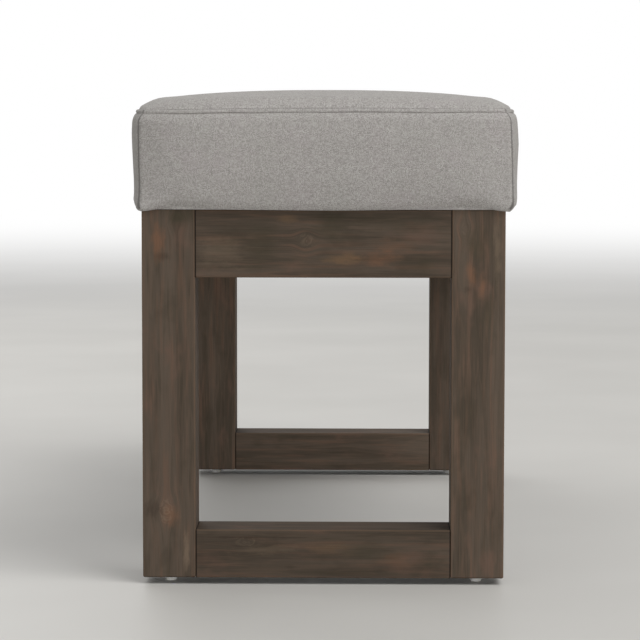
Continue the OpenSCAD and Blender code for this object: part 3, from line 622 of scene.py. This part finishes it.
def wall(shape, side, k):
    """Points of a wall, rows by stations, k inside the outer surface. A point is first its place along the
    wall, its distance out from the middle, and its height."""
    ends = side % 2 == 0
    half_l, half_d = (CUSHION_X, CUSHION_Y) if ends else (CUSHION_Y, CUSHION_X)
    station = (shape.s if ends else shape.t)[None, :]
    h, extra_in, extra_up = [row[:, None] for row in shape.rows.T]
    d = (1 - np.abs(station)) * half_l
    inset = inset_at(h) + extra_in + k
    kept = np.where(h > 0, 1, 1 - extra_in / HEM_W)
    out = half_d - inset + kept * swell(station, half_l, h) - wall_slack(h, d)
    along = station * (half_l - inset)
    up = h + extra_up + 0 * station
    if shape.detailed:
        out, along, up = sewn_wall(side, station * half_l, d, h, out, along, up)
    frame_out = (FRAME_Y if ends else FRAME_X) + FRAME_CLEAR
    on_frame = (out < frame_out) & (up < k) | (h <= 0) & (extra_up <= 0)
    x, y = ((along, -out), (out, along), (along, out), (-out, along))[side]
    return pulled(x, y, CUSHION_Z + np.where(on_frame, k, up))


def joined(front, right, rear, left):
    """Four walls joined to rows that go round the cushion, from the front left corner by the right."""
    return np.concatenate([front[:, :-1], right[:, :-1], rear[:, :0:-1], left[:, :0:-1]], axis=1)


def crown(shape, k):
    """Points of the top, t by s, from its seam on the ridge inwards. Its edge is the walls' last row."""
    s, t = shape.s[None, :], shape.t[:, None]
    rim_in = BAND.top_in if shape.detailed else 0
    ridge_in = inset_at(np.array(RIDGE_TOP_H))
    full_x = CUSHION_X - ridge_in - k + swell(t, CUSHION_Y, RIDGE_TOP_H)
    full_y = CUSHION_Y - ridge_in - k + swell(s, CUSHION_X, RIDGE_TOP_H)
    x, y = s * (full_x - rim_in), t * (full_y - rim_in)
    reach = CUSHION_X - ridge_in + SIDE_SWELL
    in_x, in_y = full_x - np.abs(x), full_y - np.abs(y)
    up = (CROWN_H - k) * rise(in_x, reach) * rise(in_y, reach) - top_slack(in_x, in_y)
    if shape.detailed:
        along_x, along_y = shape.s * CUSHION_X, shape.t * CUSHION_Y
        to_seam = np.minimum(in_x, in_y) - rim_in
        near = bell(to_seam, TOP.seam)
        up = (1 - near) * up - near * BAND.top_drop
        up += ripple("top", 0, along_x, along_y) * share_of(to_seam, TOP.fade)
        up += TOP.rise * bell(to_seam - TOP.rise_at, TOP.rise_run)
        tight = bell(to_seam - TOP.pucker_at, TOP.pucker) * share_of(to_seam, TOP.pucker_start)
        up += ripple("top pucker", 0, along_x + 0 * y) * tight * (in_y < in_x)
        up += ripple("top pucker", 1, along_y[:, None] + 0 * x) * tight * (in_x < in_y)
    return pulled(x, y, CUSHION_Z + RIDGE_TOP_H + up)


def grid_quads(numbers):
    """Quads of a grid of point numbers."""
    corners = numbers[:-1, :-1], numbers[:-1, 1:], numbers[1:, 1:], numbers[1:, :-1]
    return np.stack(corners, -1).reshape(-1, 4)


def rim(grid):
    """What lies round the edge of a grid, from its first corner along its first line."""
    return np.concatenate([grid[0, :-1], grid[:-1, -1], grid[-1, :0:-1], grid[:0:-1, 0]])


def skin(shape, k, moved=(0, 0)):
    """Points and quads of one skin, its walls' rows first and then the inside of the top, and both as grids.
    moved shifts the walls and the top."""
    walls = joined(*[wall(shape, side, k) for side in range(4)]) + moved[0]
    top = crown(shape, k) + moved[1]
    points = np.concatenate([walls.reshape(-1, 3), top[1:-1, 1:-1].reshape(-1, 3)])
    on_walls = np.arange(walls.size // 3).reshape(walls.shape[:2])
    on_top = np.zeros(top.shape[:2], int)
    on_top[1:-1, 1:-1] = np.arange(on_walls.size, len(points)).reshape(on_top[1:-1, 1:-1].shape)
    np.put(on_top, rim(np.arange(on_top.size).reshape(on_top.shape)), on_walls[-1])
    closed = np.concatenate([on_walls, on_walls[:, :1]], axis=1)
    return points, np.concatenate([grid_quads(closed), grid_quads(on_top)]), walls, top


def new_object(name, data):
    """A new object in the scene, at the origin."""
    made = bpy.data.objects.new(name, data)
    bpy.context.scene.collection.objects.link(made)
    return made


def plain_mesh(name, points, faces):
    """A smooth mesh object from points and a list of faces."""
    data = bpy.data.meshes.new(name)
    data.from_pydata(points.tolist(), [], faces)
    data.update()
    data.polygons.foreach_set("use_smooth", [True] * len(data.polygons))
    return new_object(name, data)


# The padding's push on the cover, by cloth simulation

SIM_CELL = 9 * MM
SIM_EDGE = 8 * MM
SIM_ROWS = 12
SIM_FRAMES = 20
MOST_IN = 0.2 * MM
CLOTH = {
    "quality": 6, "mass": 0.3, "tension_stiffness": 12, "compression_stiffness": 12, "shear_stiffness": 6,
    "bending_stiffness": 0.6, "use_pressure": True, "uniform_pressure_force": 4, "vertex_group_mass": "seams",
}


def sewn_rows(heights, extra_in=(), extra_up=()):
    """Rows of a wall: height, and how far past its sewn line each lies inwards and upwards."""
    rows = np.zeros((len(heights), 3))
    rows[:, 0] = heights
    rows[len(heights) - len(extra_in):, 1] = extra_in
    rows[len(heights) - len(extra_up):, 2] = extra_up
    return rows


def puffed_out():
    """How the padding pushes the walls and the top out between their seams: a cloth, pinned along every
    seam and blown up a little. Gives the shape it starts from, and the shift of each of its points."""
    heights = np.concatenate([np.linspace(0, BOXING_H, SIM_ROWS), [RIDGE_TOP_H]])
    start = Shape(SIM_CELL, np.array([0, SIM_EDGE]), sewn_rows(heights))
    points, quads, walls, top = skin(start, 0)
    rows, around = walls.shape[:2]
    foot = len(points)
    points = np.concatenate([points, [[0, 0, CUSHION_Z]]])
    below = [((c + 1) % around, c, foot) for c in range(around)]
    cloth = plain_mesh("cover_cloth", points, quads.tolist() + below)
    held = [foot, *range(around), *range((rows - 2) * around, rows * around)]
    held += [int(r * around + c) for r in range(rows) for c in start.corners]
    cloth.vertex_groups.new(name="seams").add(held, 1.0, "REPLACE")
    press = cloth.modifiers.new("press", "CLOTH")
    for name, value in CLOTH.items():
        setattr(press.settings, name, value)
    press.settings.effector_weights.gravity = 0
    press.collision_settings.use_collision = False
    press.point_cache.frame_start = 1
    press.point_cache.frame_end = SIM_FRAMES
    scene = bpy.context.scene
    for step in range(1, SIM_FRAMES + 1):
        scene.frame_set(step)
    made = cloth.evaluated_get(bpy.context.evaluated_depsgraph_get())
    co = np.zeros(len(points) * 3)
    made.data.vertices.foreach_get("co", co)
    shift = co.reshape(-1, 3) - points
    scene.frame_set(1)
    mesh = cloth.data
    bpy.data.objects.remove(cloth)
    bpy.data.meshes.remove(mesh)
    outward = np.repeat([(0, -1, 0), (1, 0, 0), (0, 1, 0), (-1, 0, 0)], start.counts, axis=0)
    wall_out = (shift[:rows * around].reshape(walls.shape) * outward).sum(-1)
    top_out = shift[rows * around:foot, 2].reshape(top.shape[0] - 2, top.shape[1] - 2)
    # The foam stops the cloth from moving in, and the padding fills only what is slack
    wall_out, top_out = [np.maximum(o, -MOST_IN) for o in (wall_out, top_out)]
    wall_out = PUFF * np.tanh(wall_out / PUFF)
    top_out = top_out * PUFF / top_out.max()
    top_shift = np.pad(top_out, 1)[:, :, None] * np.array([0, 0, 1])
    return start, (wall_out[:, :, None] * outward, top_shift)


def share_out(start, shifts, shape):
    """The simulated shift of a coarse shape's walls and top, read smoothly at the points of a finer one."""
    def weights(fine, coarse):
        return cubic_weights(np.interp(fine, coarse, np.arange(len(coarse))), len(coarse))

    by_s, by_t = weights(shape.s, start.s), weights(shape.t, start.t)
    by_row = weights(shape.rows[:, 0], start.rows[:, 0])
    closed = np.concatenate([shifts[0], shifts[0][:, :1]], axis=1)
    walls = []
    for side, (first, along) in enumerate(zip(start.corners, (by_s, by_t, by_s, by_t))):
        part = closed[:, first:first + along.shape[1]]
        part = part[:, ::-1] if side > 1 else part
        walls.append(np.einsum("ij,jkc,lk->ilc", by_row, part, along))
    return joined(*walls), np.einsum("ij,jkc,lk->ilc", by_t, shifts[1], by_s)


# The pieces of the cushion

COVER_CELL = 5 * MM
WADDING_CELL = 9 * MM
PAD_CLEAR = 0.3 * MM
WADDING_IN = COVER_T + 1.2 * MM
HEM_ROWS = 6
SEAM_STEPS = np.array([0, 0.7, 1.5, 2.5, 3.8, 5.5, 8, 11, 15]) * MM
BOTTOM_ROWS = np.array([0.35, 0.8, 1.4, 2.1, 3.0, 4.2, 5.8, 7.8, 10]) * MM
FACE_ROWS = np.linspace(10, 91.6, 15)[1:] * MM
CREASE_ROWS = np.array([94, 96.2, 98, 99.3, 100.2, 100.7, 101.05, 101.35, 101.6]) * MM
BAND_ROWS = np.array([101.85, 102.15, 102.5, 103, 103.7, 104.4, 104.9]) * MM
OVER_IN = np.array([0.3, 0.8, 1.2, BAND.top_in / MM]) * MM
OVER_UP = np.array([-1.3, -1.0, -1.0, -BAND.top_drop / MM]) * MM


def cover_rows(hem_rows):
    """Rows of the cover's walls, from the hem's inner edge over the stitched band to the top's seam."""
    over = np.full(len(OVER_IN), RIDGE_TOP_H)
    heights = np.concatenate([np.zeros(hem_rows), BOTTOM_ROWS, FACE_ROWS, CREASE_ROWS, BAND_ROWS, over])
    rows = sewn_rows(heights, OVER_IN, OVER_UP)
    rows[:hem_rows, 1] = np.linspace(HEM_W, 0, hem_rows)
    return rows


def close_shell(outer, inner, edge):
    """Points and quads of a shell: an outer skin, an inner one turned round, and a rim between them along the
    points of their open edge."""
    count = len(outer[0])
    after = np.roll(edge, -1)
    between = np.stack([after, edge, edge + count, after + count], -1)
    quads = np.concatenate([outer[1], inner[1][:, ::-1] + count, between])
    return np.concatenate([outer[0], inner[0]]), quads


def lay_cloth(piece, points, quads, shape):
    """Lays the cloth's flat coordinates, in metres, on each panel of the cover: four walls, top and hem."""
    sides = np.repeat(range(4), shape.counts)
    top_count = (len(shape.s) - 1) * (len(shape.t) - 1)
    panel = np.concatenate([np.tile(sides, len(shape.rows) - 1), np.full(top_count, 4)])
    panel[:HEM_ROWS * shape.around] = 5
    panel = np.repeat(np.concatenate([panel, panel, sides]), 4)
    x, y, z = points[quads.ravel()].T
    u = np.choose(panel, [x, y, -x, -y, x, x]) + panel
    v = np.where(panel < 4, z, y)
    piece.data.uv_layers.new(name="cloth").data.foreach_set("uv", np.stack([u, v], -1).ravel())


def mark_seams(piece, shape):
    """Marks from 0 to 1 how deep the outer surface lies in a seam, for the painted shade that darkens the
    cloth there.
    """
    h, extra_in = shape.rows[:, :2].T
    crease = CREASE_SHADE * bell(h - BOXING_H, SHADE.crease)
    past_band = h > BAND_ROWS[-1]
    seam = past_band * bell(extra_in - BAND.top_in, SHADE.top)
    from_corner = [(1 - np.abs(shape.s)) * CUSHION_X, (1 - np.abs(shape.t)) * CUSHION_Y]
    d = np.concatenate([from_corner[side % 2][:-1] for side in range(4)])
    uneven = BAND_SHADE + ripple("seam shade", 0, np.arange(1, len(d) + 1) * COVER_CELL)
    row = crease[:, None] + seam[:, None] * uneven[None, :]
    column = bell(d, SHADE.corner)[None, :] * (h > SHADE.corner_from)[:, None]
    top = TOP_SHADE * bell(np.minimum(*np.meshgrid(*from_corner)), SHADE.top)
    marks = np.concatenate([np.maximum(row, column).ravel(), top[1:-1, 1:-1].ravel()])
    painted_seam_shade = piece.data.attributes.new("painted_seam_shade", "FLOAT", "POINT")
    painted_seam_shade.data.foreach_set("value", np.concatenate([marks, 0 * marks]))


def seat_cover(cloth, start, shifts):
    """The sewn cover: crowned top, four boxing walls with a stitched band, and a hem turned in below. Gives
    its outer walls and its shape."""
    shape = Shape(COVER_CELL, SEAM_STEPS, cover_rows(HEM_ROWS), detailed=True)
    moved = share_out(start, shifts, shape)
    outer, inner = [skin(shape, k, moved) for k in (0, COVER_T)]
    points, quads = close_shell(outer, inner, np.arange(shape.around))
    piece = plain_mesh("seat_cover", points, quads.tolist())
    lay_cloth(piece, points, quads, shape)
    mark_seams(piece, shape)
    piece.data.materials.append(cloth)
    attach(piece, BODY)
    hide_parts("cover_top", "cover_front", "cover_rear", "cover_left", "cover_right")
    return outer[2], shape


def foam_hollow(shape, low, high, rows):
    """Points of the hollow round the foam, in the order of a skin: rows up its walls, then its top."""
    s, t = shape.s[None, :] * high.x, shape.t[None, :] * high.y
    z = np.linspace(low, high.z, rows)[:, None]
    walls = joined(placed(s, -high.y, z), placed(high.x, t, z), placed(s, high.y, z), placed(-high.x, t, z))
    top = placed(s, t.T, high.z)
    return np.concatenate([walls.reshape(-1, 3), top[1:-1, 1:-1].reshape(-1, 3)])


def wadding_wrap(material, start, shifts):
    """The wadding: crowned as the cover is, just inside it, and hollow where the foam lies."""
    rows = cover_rows(0)
    foot_h = DECK_TOP - CUSHION_Z
    rows = np.concatenate([sewn_rows([foot_h + PAD_CLEAR]), rows[rows[:, 0] > foot_h + 2 * MM]])
    shape = Shape(WADDING_CELL, SEAM_STEPS[::2], rows, detailed=True)
    outer = skin(shape, WADDING_IN, share_out(start, shifts, shape))
    hollow = foam_hollow(shape, DECK_TOP + PAD_CLEAR, FOAM_HIGH + Vector((1, 1, 1)) * PAD_CLEAR, len(rows))
    points, quads = close_shell(outer, (hollow, outer[1]), np.arange(shape.around))
    piece = plain_mesh("wadding_wrap", points, quads.tolist())
    piece.data.materials.append(material)
    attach(piece, BODY)
    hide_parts("wadding")


def foam_core(material):
    """The foam block, its edges a little rounded by the cut."""
    mesh = bmesh.new()
    bmesh.ops.create_cube(mesh, size=1)
    bmesh.ops.scale(mesh, vec=FOAM_HIGH - FOAM_LOW, verts=mesh.verts)
    bmesh.ops.translate(mesh, vec=(FOAM_LOW + FOAM_HIGH) / 2, verts=mesh.verts)
    bmesh.ops.bevel(mesh, geom=mesh.edges[:], offset=2 * MM, segments=3, profile=0.5, affect="EDGES")
    data = bpy.data.meshes.new("foam_core")
    mesh.to_mesh(data)
    mesh.free()
    piece = new_object("foam_core", data)
    data.materials.append(material)
    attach(piece, BODY)
    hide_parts("foam_block")


SHEET = in_mm(sag=1.6, fade=30)
SHEET_LINES, SHEET_COLS = 173, 73


def dust_sheet(material):
    """The dust cover: thin cloth stapled under the seat, with a slight sag between the rails."""
    low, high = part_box("dust_cover")
    x = np.linspace(low.x, high.x, SHEET_COLS)
    y = np.linspace(low.y, high.y, SHEET_LINES)
    free = share_of(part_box("side_apron_right")[0].x - np.abs(x), SHEET.fade)[None, :]
    free = free * share_of(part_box("end_apron_rear")[0].y - np.abs(y), SHEET.fade)[:, None]
    off_rail = 1 - bell(y[:, None], SHEET.fade)
    sag = SHEET.sag * free * off_rail * (0.6 + ripple("dust sheet", 0, x, y))
    under = placed(x, y[:, None], low.z - sag).reshape(-1, 3)
    over = under + np.array([0, 0, high.z - low.z])
    numbers = np.arange(len(under)).reshape(sag.shape)
    quads = grid_quads(numbers.T)
    points, quads = close_shell((under, quads), (over, quads), rim(numbers)[::-1])
    piece = plain_mesh("dust_sheet", points, quads.tolist())
    piece.data.materials.append(material)
    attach(piece, BODY)
    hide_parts("dust_cover")


# Stitches, by Geometry Nodes


def stitch_tree(material):
    """A tree that lays a short stitch of thread at every pitch along an edge line."""
    tree = bpy.data.node_groups.new("stitches_on_a_line", "GeometryNodeTree")
    face = tree.interface
    face.new_socket("Line", in_out="INPUT", socket_type="NodeSocketGeometry")
    for name in ("Pitch", "Stitch length", "Thread radius"):
        face.new_socket(name, in_out="INPUT", socket_type="NodeSocketFloat")
    face.new_socket("Stitches", in_out="OUTPUT", socket_type="NodeSocketGeometry")
    line, pitch, length, radius = add(tree, "NodeGroupInput", out=slice(4))
    curve = add(tree, "GeometryNodeMeshToCurve", {"Mesh": line})
    even = add(tree, "GeometryNodeResampleCurve", {"Curve": curve, "Length": pitch}, mode="LENGTH")
    bead = add(tree, "GeometryNodeMeshUVSphere", {"Segments": 6, "Rings": 5, "Radius": 1})
    half = add(tree, "ShaderNodeMath", (length, 0.5), operation="MULTIPLY")
    size = add(tree, "ShaderNodeCombineXYZ", (radius, radius, half))
    tangent = add(tree, "GeometryNodeInputTangent")
    turn = add(tree, "FunctionNodeAlignRotationToVector", {"Vector": tangent}, axis="Z")
    laid = {"Points": even, "Instance": bead, "Rotation": turn, "Scale": size}
    stitches = add(tree, "GeometryNodeInstanceOnPoints", laid)
    smooth = add(tree, "GeometryNodeSetShadeSmooth", {"Geometry": stitches})
    real = add(tree, "GeometryNodeRealizeInstances", (smooth,))
    painted = add(tree, "GeometryNodeSetMaterial", {"Geometry": real, "Material": material})
    add(tree, "NodeGroupOutput", (painted,))
    return tree


def stitched(name, line, tree):
    """Stitches along a closed line of points, made a plain mesh."""
    count = len(line)
    data = bpy.data.meshes.new(name + "_line")
    data.from_pydata(line.tolist(), [(n, (n + 1) % count) for n in range(count)], [])
    base = new_object(name + "_line", data)
    sewing = base.modifiers.new("stitches", "NODES")
    sewing.node_group = tree
    sizes = {"Pitch": STITCH.pitch, "Stitch length": STITCH.length, "Thread radius": STITCH.thread}
    for socket in tree.interface.items_tree:
        if socket.name in sizes:
            sewing[socket.identifier] = sizes[socket.name]
    depsgraph = bpy.context.evaluated_depsgraph_get()
    made = bpy.data.meshes.new_from_object(base.evaluated_get(depsgraph), depsgraph=depsgraph)
    made.name = name
    bpy.data.objects.remove(base)
    piece = new_object(name, made)
    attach(piece, BODY)


# The whole object

# The stained boards: which way the grain runs, where in the tree the board was cut, and how light it is
BOARDS = {
    "leg_front_left": ("z", 3.1, 0.94), "leg_front_right": ("z", 7.7, 1.03),
    "leg_rear_left": ("z", 11.9, 1.3), "leg_rear_right": ("z", 16.3, 0.95),
    "end_apron_front": ("x", 21.3, 0.87), "end_apron_rear": ("x", 26.9, 0.95),
    "end_stretcher_front": ("x", 31.7, 0.81), "end_stretcher_rear": ("x", 36.1, 1.16),
    "side_apron_left": ("y", 41.9, 0.95), "side_apron_right": ("y", 47.3, 0.95),
}

# Knots and blotches that show on the boards of the front end: first a blotch's stain and its share, then the
# place along and across the board, the half length and the half width, in millimetres. Along is upwards on a
# leg and to the right on a rail, across is to the right on a leg and downwards on a rail.
KNOTS = {
    "leg_front_left": ((181, 9, 8, 7), (-124, -3, 13, 8)),
    "leg_front_right": ((176, -14, 7, 6),),
    "end_apron_front": ((-18, -3, 8, 8),),
    "end_stretcher_front": ((-84, -12, 15, 5),),
}
BLOTCHES = {
    "leg_front_left": (
        ("red", 0.6, 160, -11, 15, 6), ("olive", 0.5, 188, 14, 8, 15), ("dark", 0.4, 146, -5, 4, 8),
        ("dark", 0.5, -123, -19, 10, 9), ("red", 0.5, -128, 2, 10, 7), ("pale", 0.45, -165, 18, 20, 3),
    ),
    "leg_front_right": (
        ("red", 0.55, 127, -8, 11, 4), ("red", 0.5, 114, 4, 11, 4), ("olive", 0.4, 158, -2, 15, 14),
        ("dark", 0.4, 112, -11, 4, 4), ("olive", 0.3, 84, 10, 20, 8), ("pale", 0.35, 155, 20, 32, 4),
    ),
    "end_apron_front": (
        ("olive", 0.4, 8, -17, 14, 12), ("olive", 0.3, -66, 0, 16, 26), ("amber", 0.35, -38, -26, 10, 4),
        ("amber", 0.5, 22, 16, 17, 6), ("red", 0.5, 60, 15, 18, 7), ("red", 0.3, 76, 2, 20, 6),
        ("pale", 0.25, -106, 10, 26, 14), ("olive", 0.3, 85, -20, 40, 8), ("olive", 0.3, 108, 22, 12, 9),
    ),
    "end_stretcher_front": (
        ("amber", 0.3, 8, -7, 26, 6), ("olive", 0.35, 46, -4, 28, 12), ("red", 0.3, 78, 8, 18, 8),
        ("olive", 0.4, 112, 10, 16, 12), ("dark", 0.5, -90, -17.5, 60, 0.9), ("pale", 0.25, -60, -4, 30, 5),
    ),
}


def paint(material, *nodes):
    """Puts one material on CAD nodes."""
    for node in nodes:
        slots = NODES[node].data.materials
        slots.clear()
        slots.append(material)


def dress_wood():
    """Gives each wooden CAD piece its own cut of wood."""
    for node, (grain, seed, tone) in BOARDS.items():
        stained_pine(node, grain, seed, tone)
    bare_wood("planed_pine_rail", "cross_rail", "x", 52.1, "#B99A70", "#A58359", "#8A6840")
    for n, node in enumerate(sorted(name for name in NODES if name.startswith("corner_brace"))):
        bare_wood("planed_pine_" + node, node, "z", 55.7 + 3 * n, "#BFA077", "#AA8A60", "#93714A")
    for n, node in enumerate(sorted(name for name in NODES if name.endswith("_dowels"))):
        bare_wood("beech_" + node, node, "x", 70.1 + 3 * n, "#D2B182", "#C29F70", "#B08C5E")
    paint(birch_plywood(), "seat_board")


def dress_hardware():
    """Gives the bolts, screws, staples, nails and glides their finishes."""
    paint(plated_steel("zinc_plate", "#C9C8C4", "#A9A8A3", 0.34), "hanger_bolts", "bolt_washers", "bolt_nuts")
    paint(plated_steel("yellow_zinc_plate", "#D3BE78", "#A99149", 0.36), "brace_screws", "seat_screws")
    paint(plated_steel("galvanised_wire", "#BDBCB8", "#94938F", 0.4), "cover_staples", "dust_cover_staples")
    paint(plated_steel("bright_nail_steel", "#A3A29E", "#7E7D79", 0.42), "glide_nails")
    paint(moulded_polypropylene(), *[n for n in NODES if n.startswith("glide_") and n != "glide_nails"])


def dress_seat():
    """Makes the cover, the padding under it, the stitches and the dust cover."""
    start, shifts = puffed_out()
    walls, shape = seat_cover(heathered_weave(), start, shifts)
    wadding_wrap(bonded_wadding(), start, shifts)
    foam_core(cut_foam())
    dust_sheet(spunbond_cloth())
    row = int(np.argmin(np.abs(shape.rows[:, 0] - BOXING_H)))
    tree = stitch_tree(spun_thread())
    stitched("band_stitches", walls[row], tree)


# Floor, backdrop, lamps and camera

FLOOR_R = 14.0
FADE_FROM = 1.2
FADE_TO = 10
WORLD_LIGHT = 0.5
SEEN_RAYS = ("Is Camera Ray", "Is Glossy Ray", "Is Transmission Ray")

# The soft boxes: where each stands, its power in watts and the length of its sides
SOFT_BOXES = {
    "key_soft_box": ((2.45, -2.28, 4.55), 173, 3.3),
    "front_soft_box": ((0.5, -7.2, 0.95), 115, 1.7),
    "rear_soft_box": ((-1.4, 2.8, 2.2), 26, 2.0),
}
LAMP_AIM = Vector((0, 0, 0.3))


def seen_ray(tree):
    """1 for what the camera sees, straight, in gloss or through glass, and 0 for the light on the object."""
    straight, glossy, through = [add(tree, "ShaderNodeLightPath", out=name) for name in SEEN_RAYS]
    seen = add(tree, "ShaderNodeMath", (straight, glossy), operation="MAXIMUM")
    return add(tree, "ShaderNodeMath", (seen, through), operation="MAXIMUM")


def pale_floor():
    """A wide pale floor, painted and matt, that fades to the white background far from the object."""
    made, tree, place = new_material("pale_floor")
    shade = clouds(tree, place, (600, 600, 600))
    colour = coats(tree, "#BFBDB9", ("#C6C4C0", shade, 0.3, 0.7))
    matt = {"Base Color": colour, "Roughness": 0.55, "Specular IOR Level": 0.3}
    paint_coat = add(tree, "ShaderNodeBsdfPrincipled", matt)
    glow = add(tree, "ShaderNodeEmission", {"Color": (1, 1, 1, 1), "Strength": 1})
    far = add(tree, "ShaderNodeVectorMath", (place,), "Value", operation="LENGTH")
    reach = (far, FADE_FROM, FADE_TO)
    faded = add(tree, "ShaderNodeMapRange", reach, interpolation_type="SMOOTHERSTEP")
    share = add(tree, "ShaderNodeMath", (faded, seen_ray(tree)), operation="MULTIPLY")
    both = add(tree, "ShaderNodeMixShader", (share, paint_coat, glow))
    add(tree, "ShaderNodeOutputMaterial", {"Surface": both})
    bpy.ops.mesh.primitive_circle_add(vertices=96, radius=FLOOR_R, fill_type="NGON")
    floor = bpy.context.object
    floor.name = "pale_floor"
    floor.data.materials.append(made)


def studio_world():
    """Even daylight-white surroundings, seen as white."""
    world = bpy.data.worlds.new("studio")
    bpy.context.scene.world = world
    world.use_nodes = True
    tree = world.node_tree
    tree.nodes.clear()
    light = add(tree, "ShaderNodeBackground", {"Color": srgb("#F6F6F4"), "Strength": WORLD_LIGHT})
    white = add(tree, "ShaderNodeBackground", {"Color": (1, 1, 1, 1), "Strength": 1})
    both = add(tree, "ShaderNodeMixShader", (seen_ray(tree), light, white))
    add(tree, "ShaderNodeOutputWorld", {"Surface": both})


def soft_box(name, place, power, size):
    """A square soft box at a place, turned to the object."""
    data = bpy.data.lights.new(name, "AREA")
    data.energy = power
    data.size = size
    made = new_object(name, data)
    made.location = place
    made.rotation_euler = (LAMP_AIM - Vector(place)).to_track_quat("-Z", "Y").to_euler()


def photo_camera():
    """The camera, solved from the frame's edges in the photograph."""
    focal_px, photo_px, sensor = 2497.2, 640, 36.0
    yaw, pitch, tilt = math.radians(0.962), math.radians(4.502), math.radians(0.058)
    place = (0.04037, -3.0505, 0.4862)
    data = bpy.data.cameras.new("photo_camera")
    data.sensor_width = sensor
    data.lens = focal_px / photo_px * sensor
    data.clip_start, data.clip_end = 0.05, 60
    made = new_object("photo_camera", data)
    turn = Matrix.Rotation(yaw, 4, "Z") @ Matrix.Rotation(math.pi / 2 - pitch, 4, "X")
    made.matrix_world = Matrix.Translation(place) @ turn @ Matrix.Rotation(tilt, 4, "Z")
    bpy.context.scene.camera = made


def set_stage():
    """Floor, surroundings, lamps, camera and view settings."""
    pale_floor()
    studio_world()
    for name, (place, power, size) in SOFT_BOXES.items():
        soft_box(name, place, power, size)
    photo_camera()
    bpy.context.scene.view_settings.view_transform = "Standard"


set_stage()
dress_wood()
dress_hardware()
dress_seat()
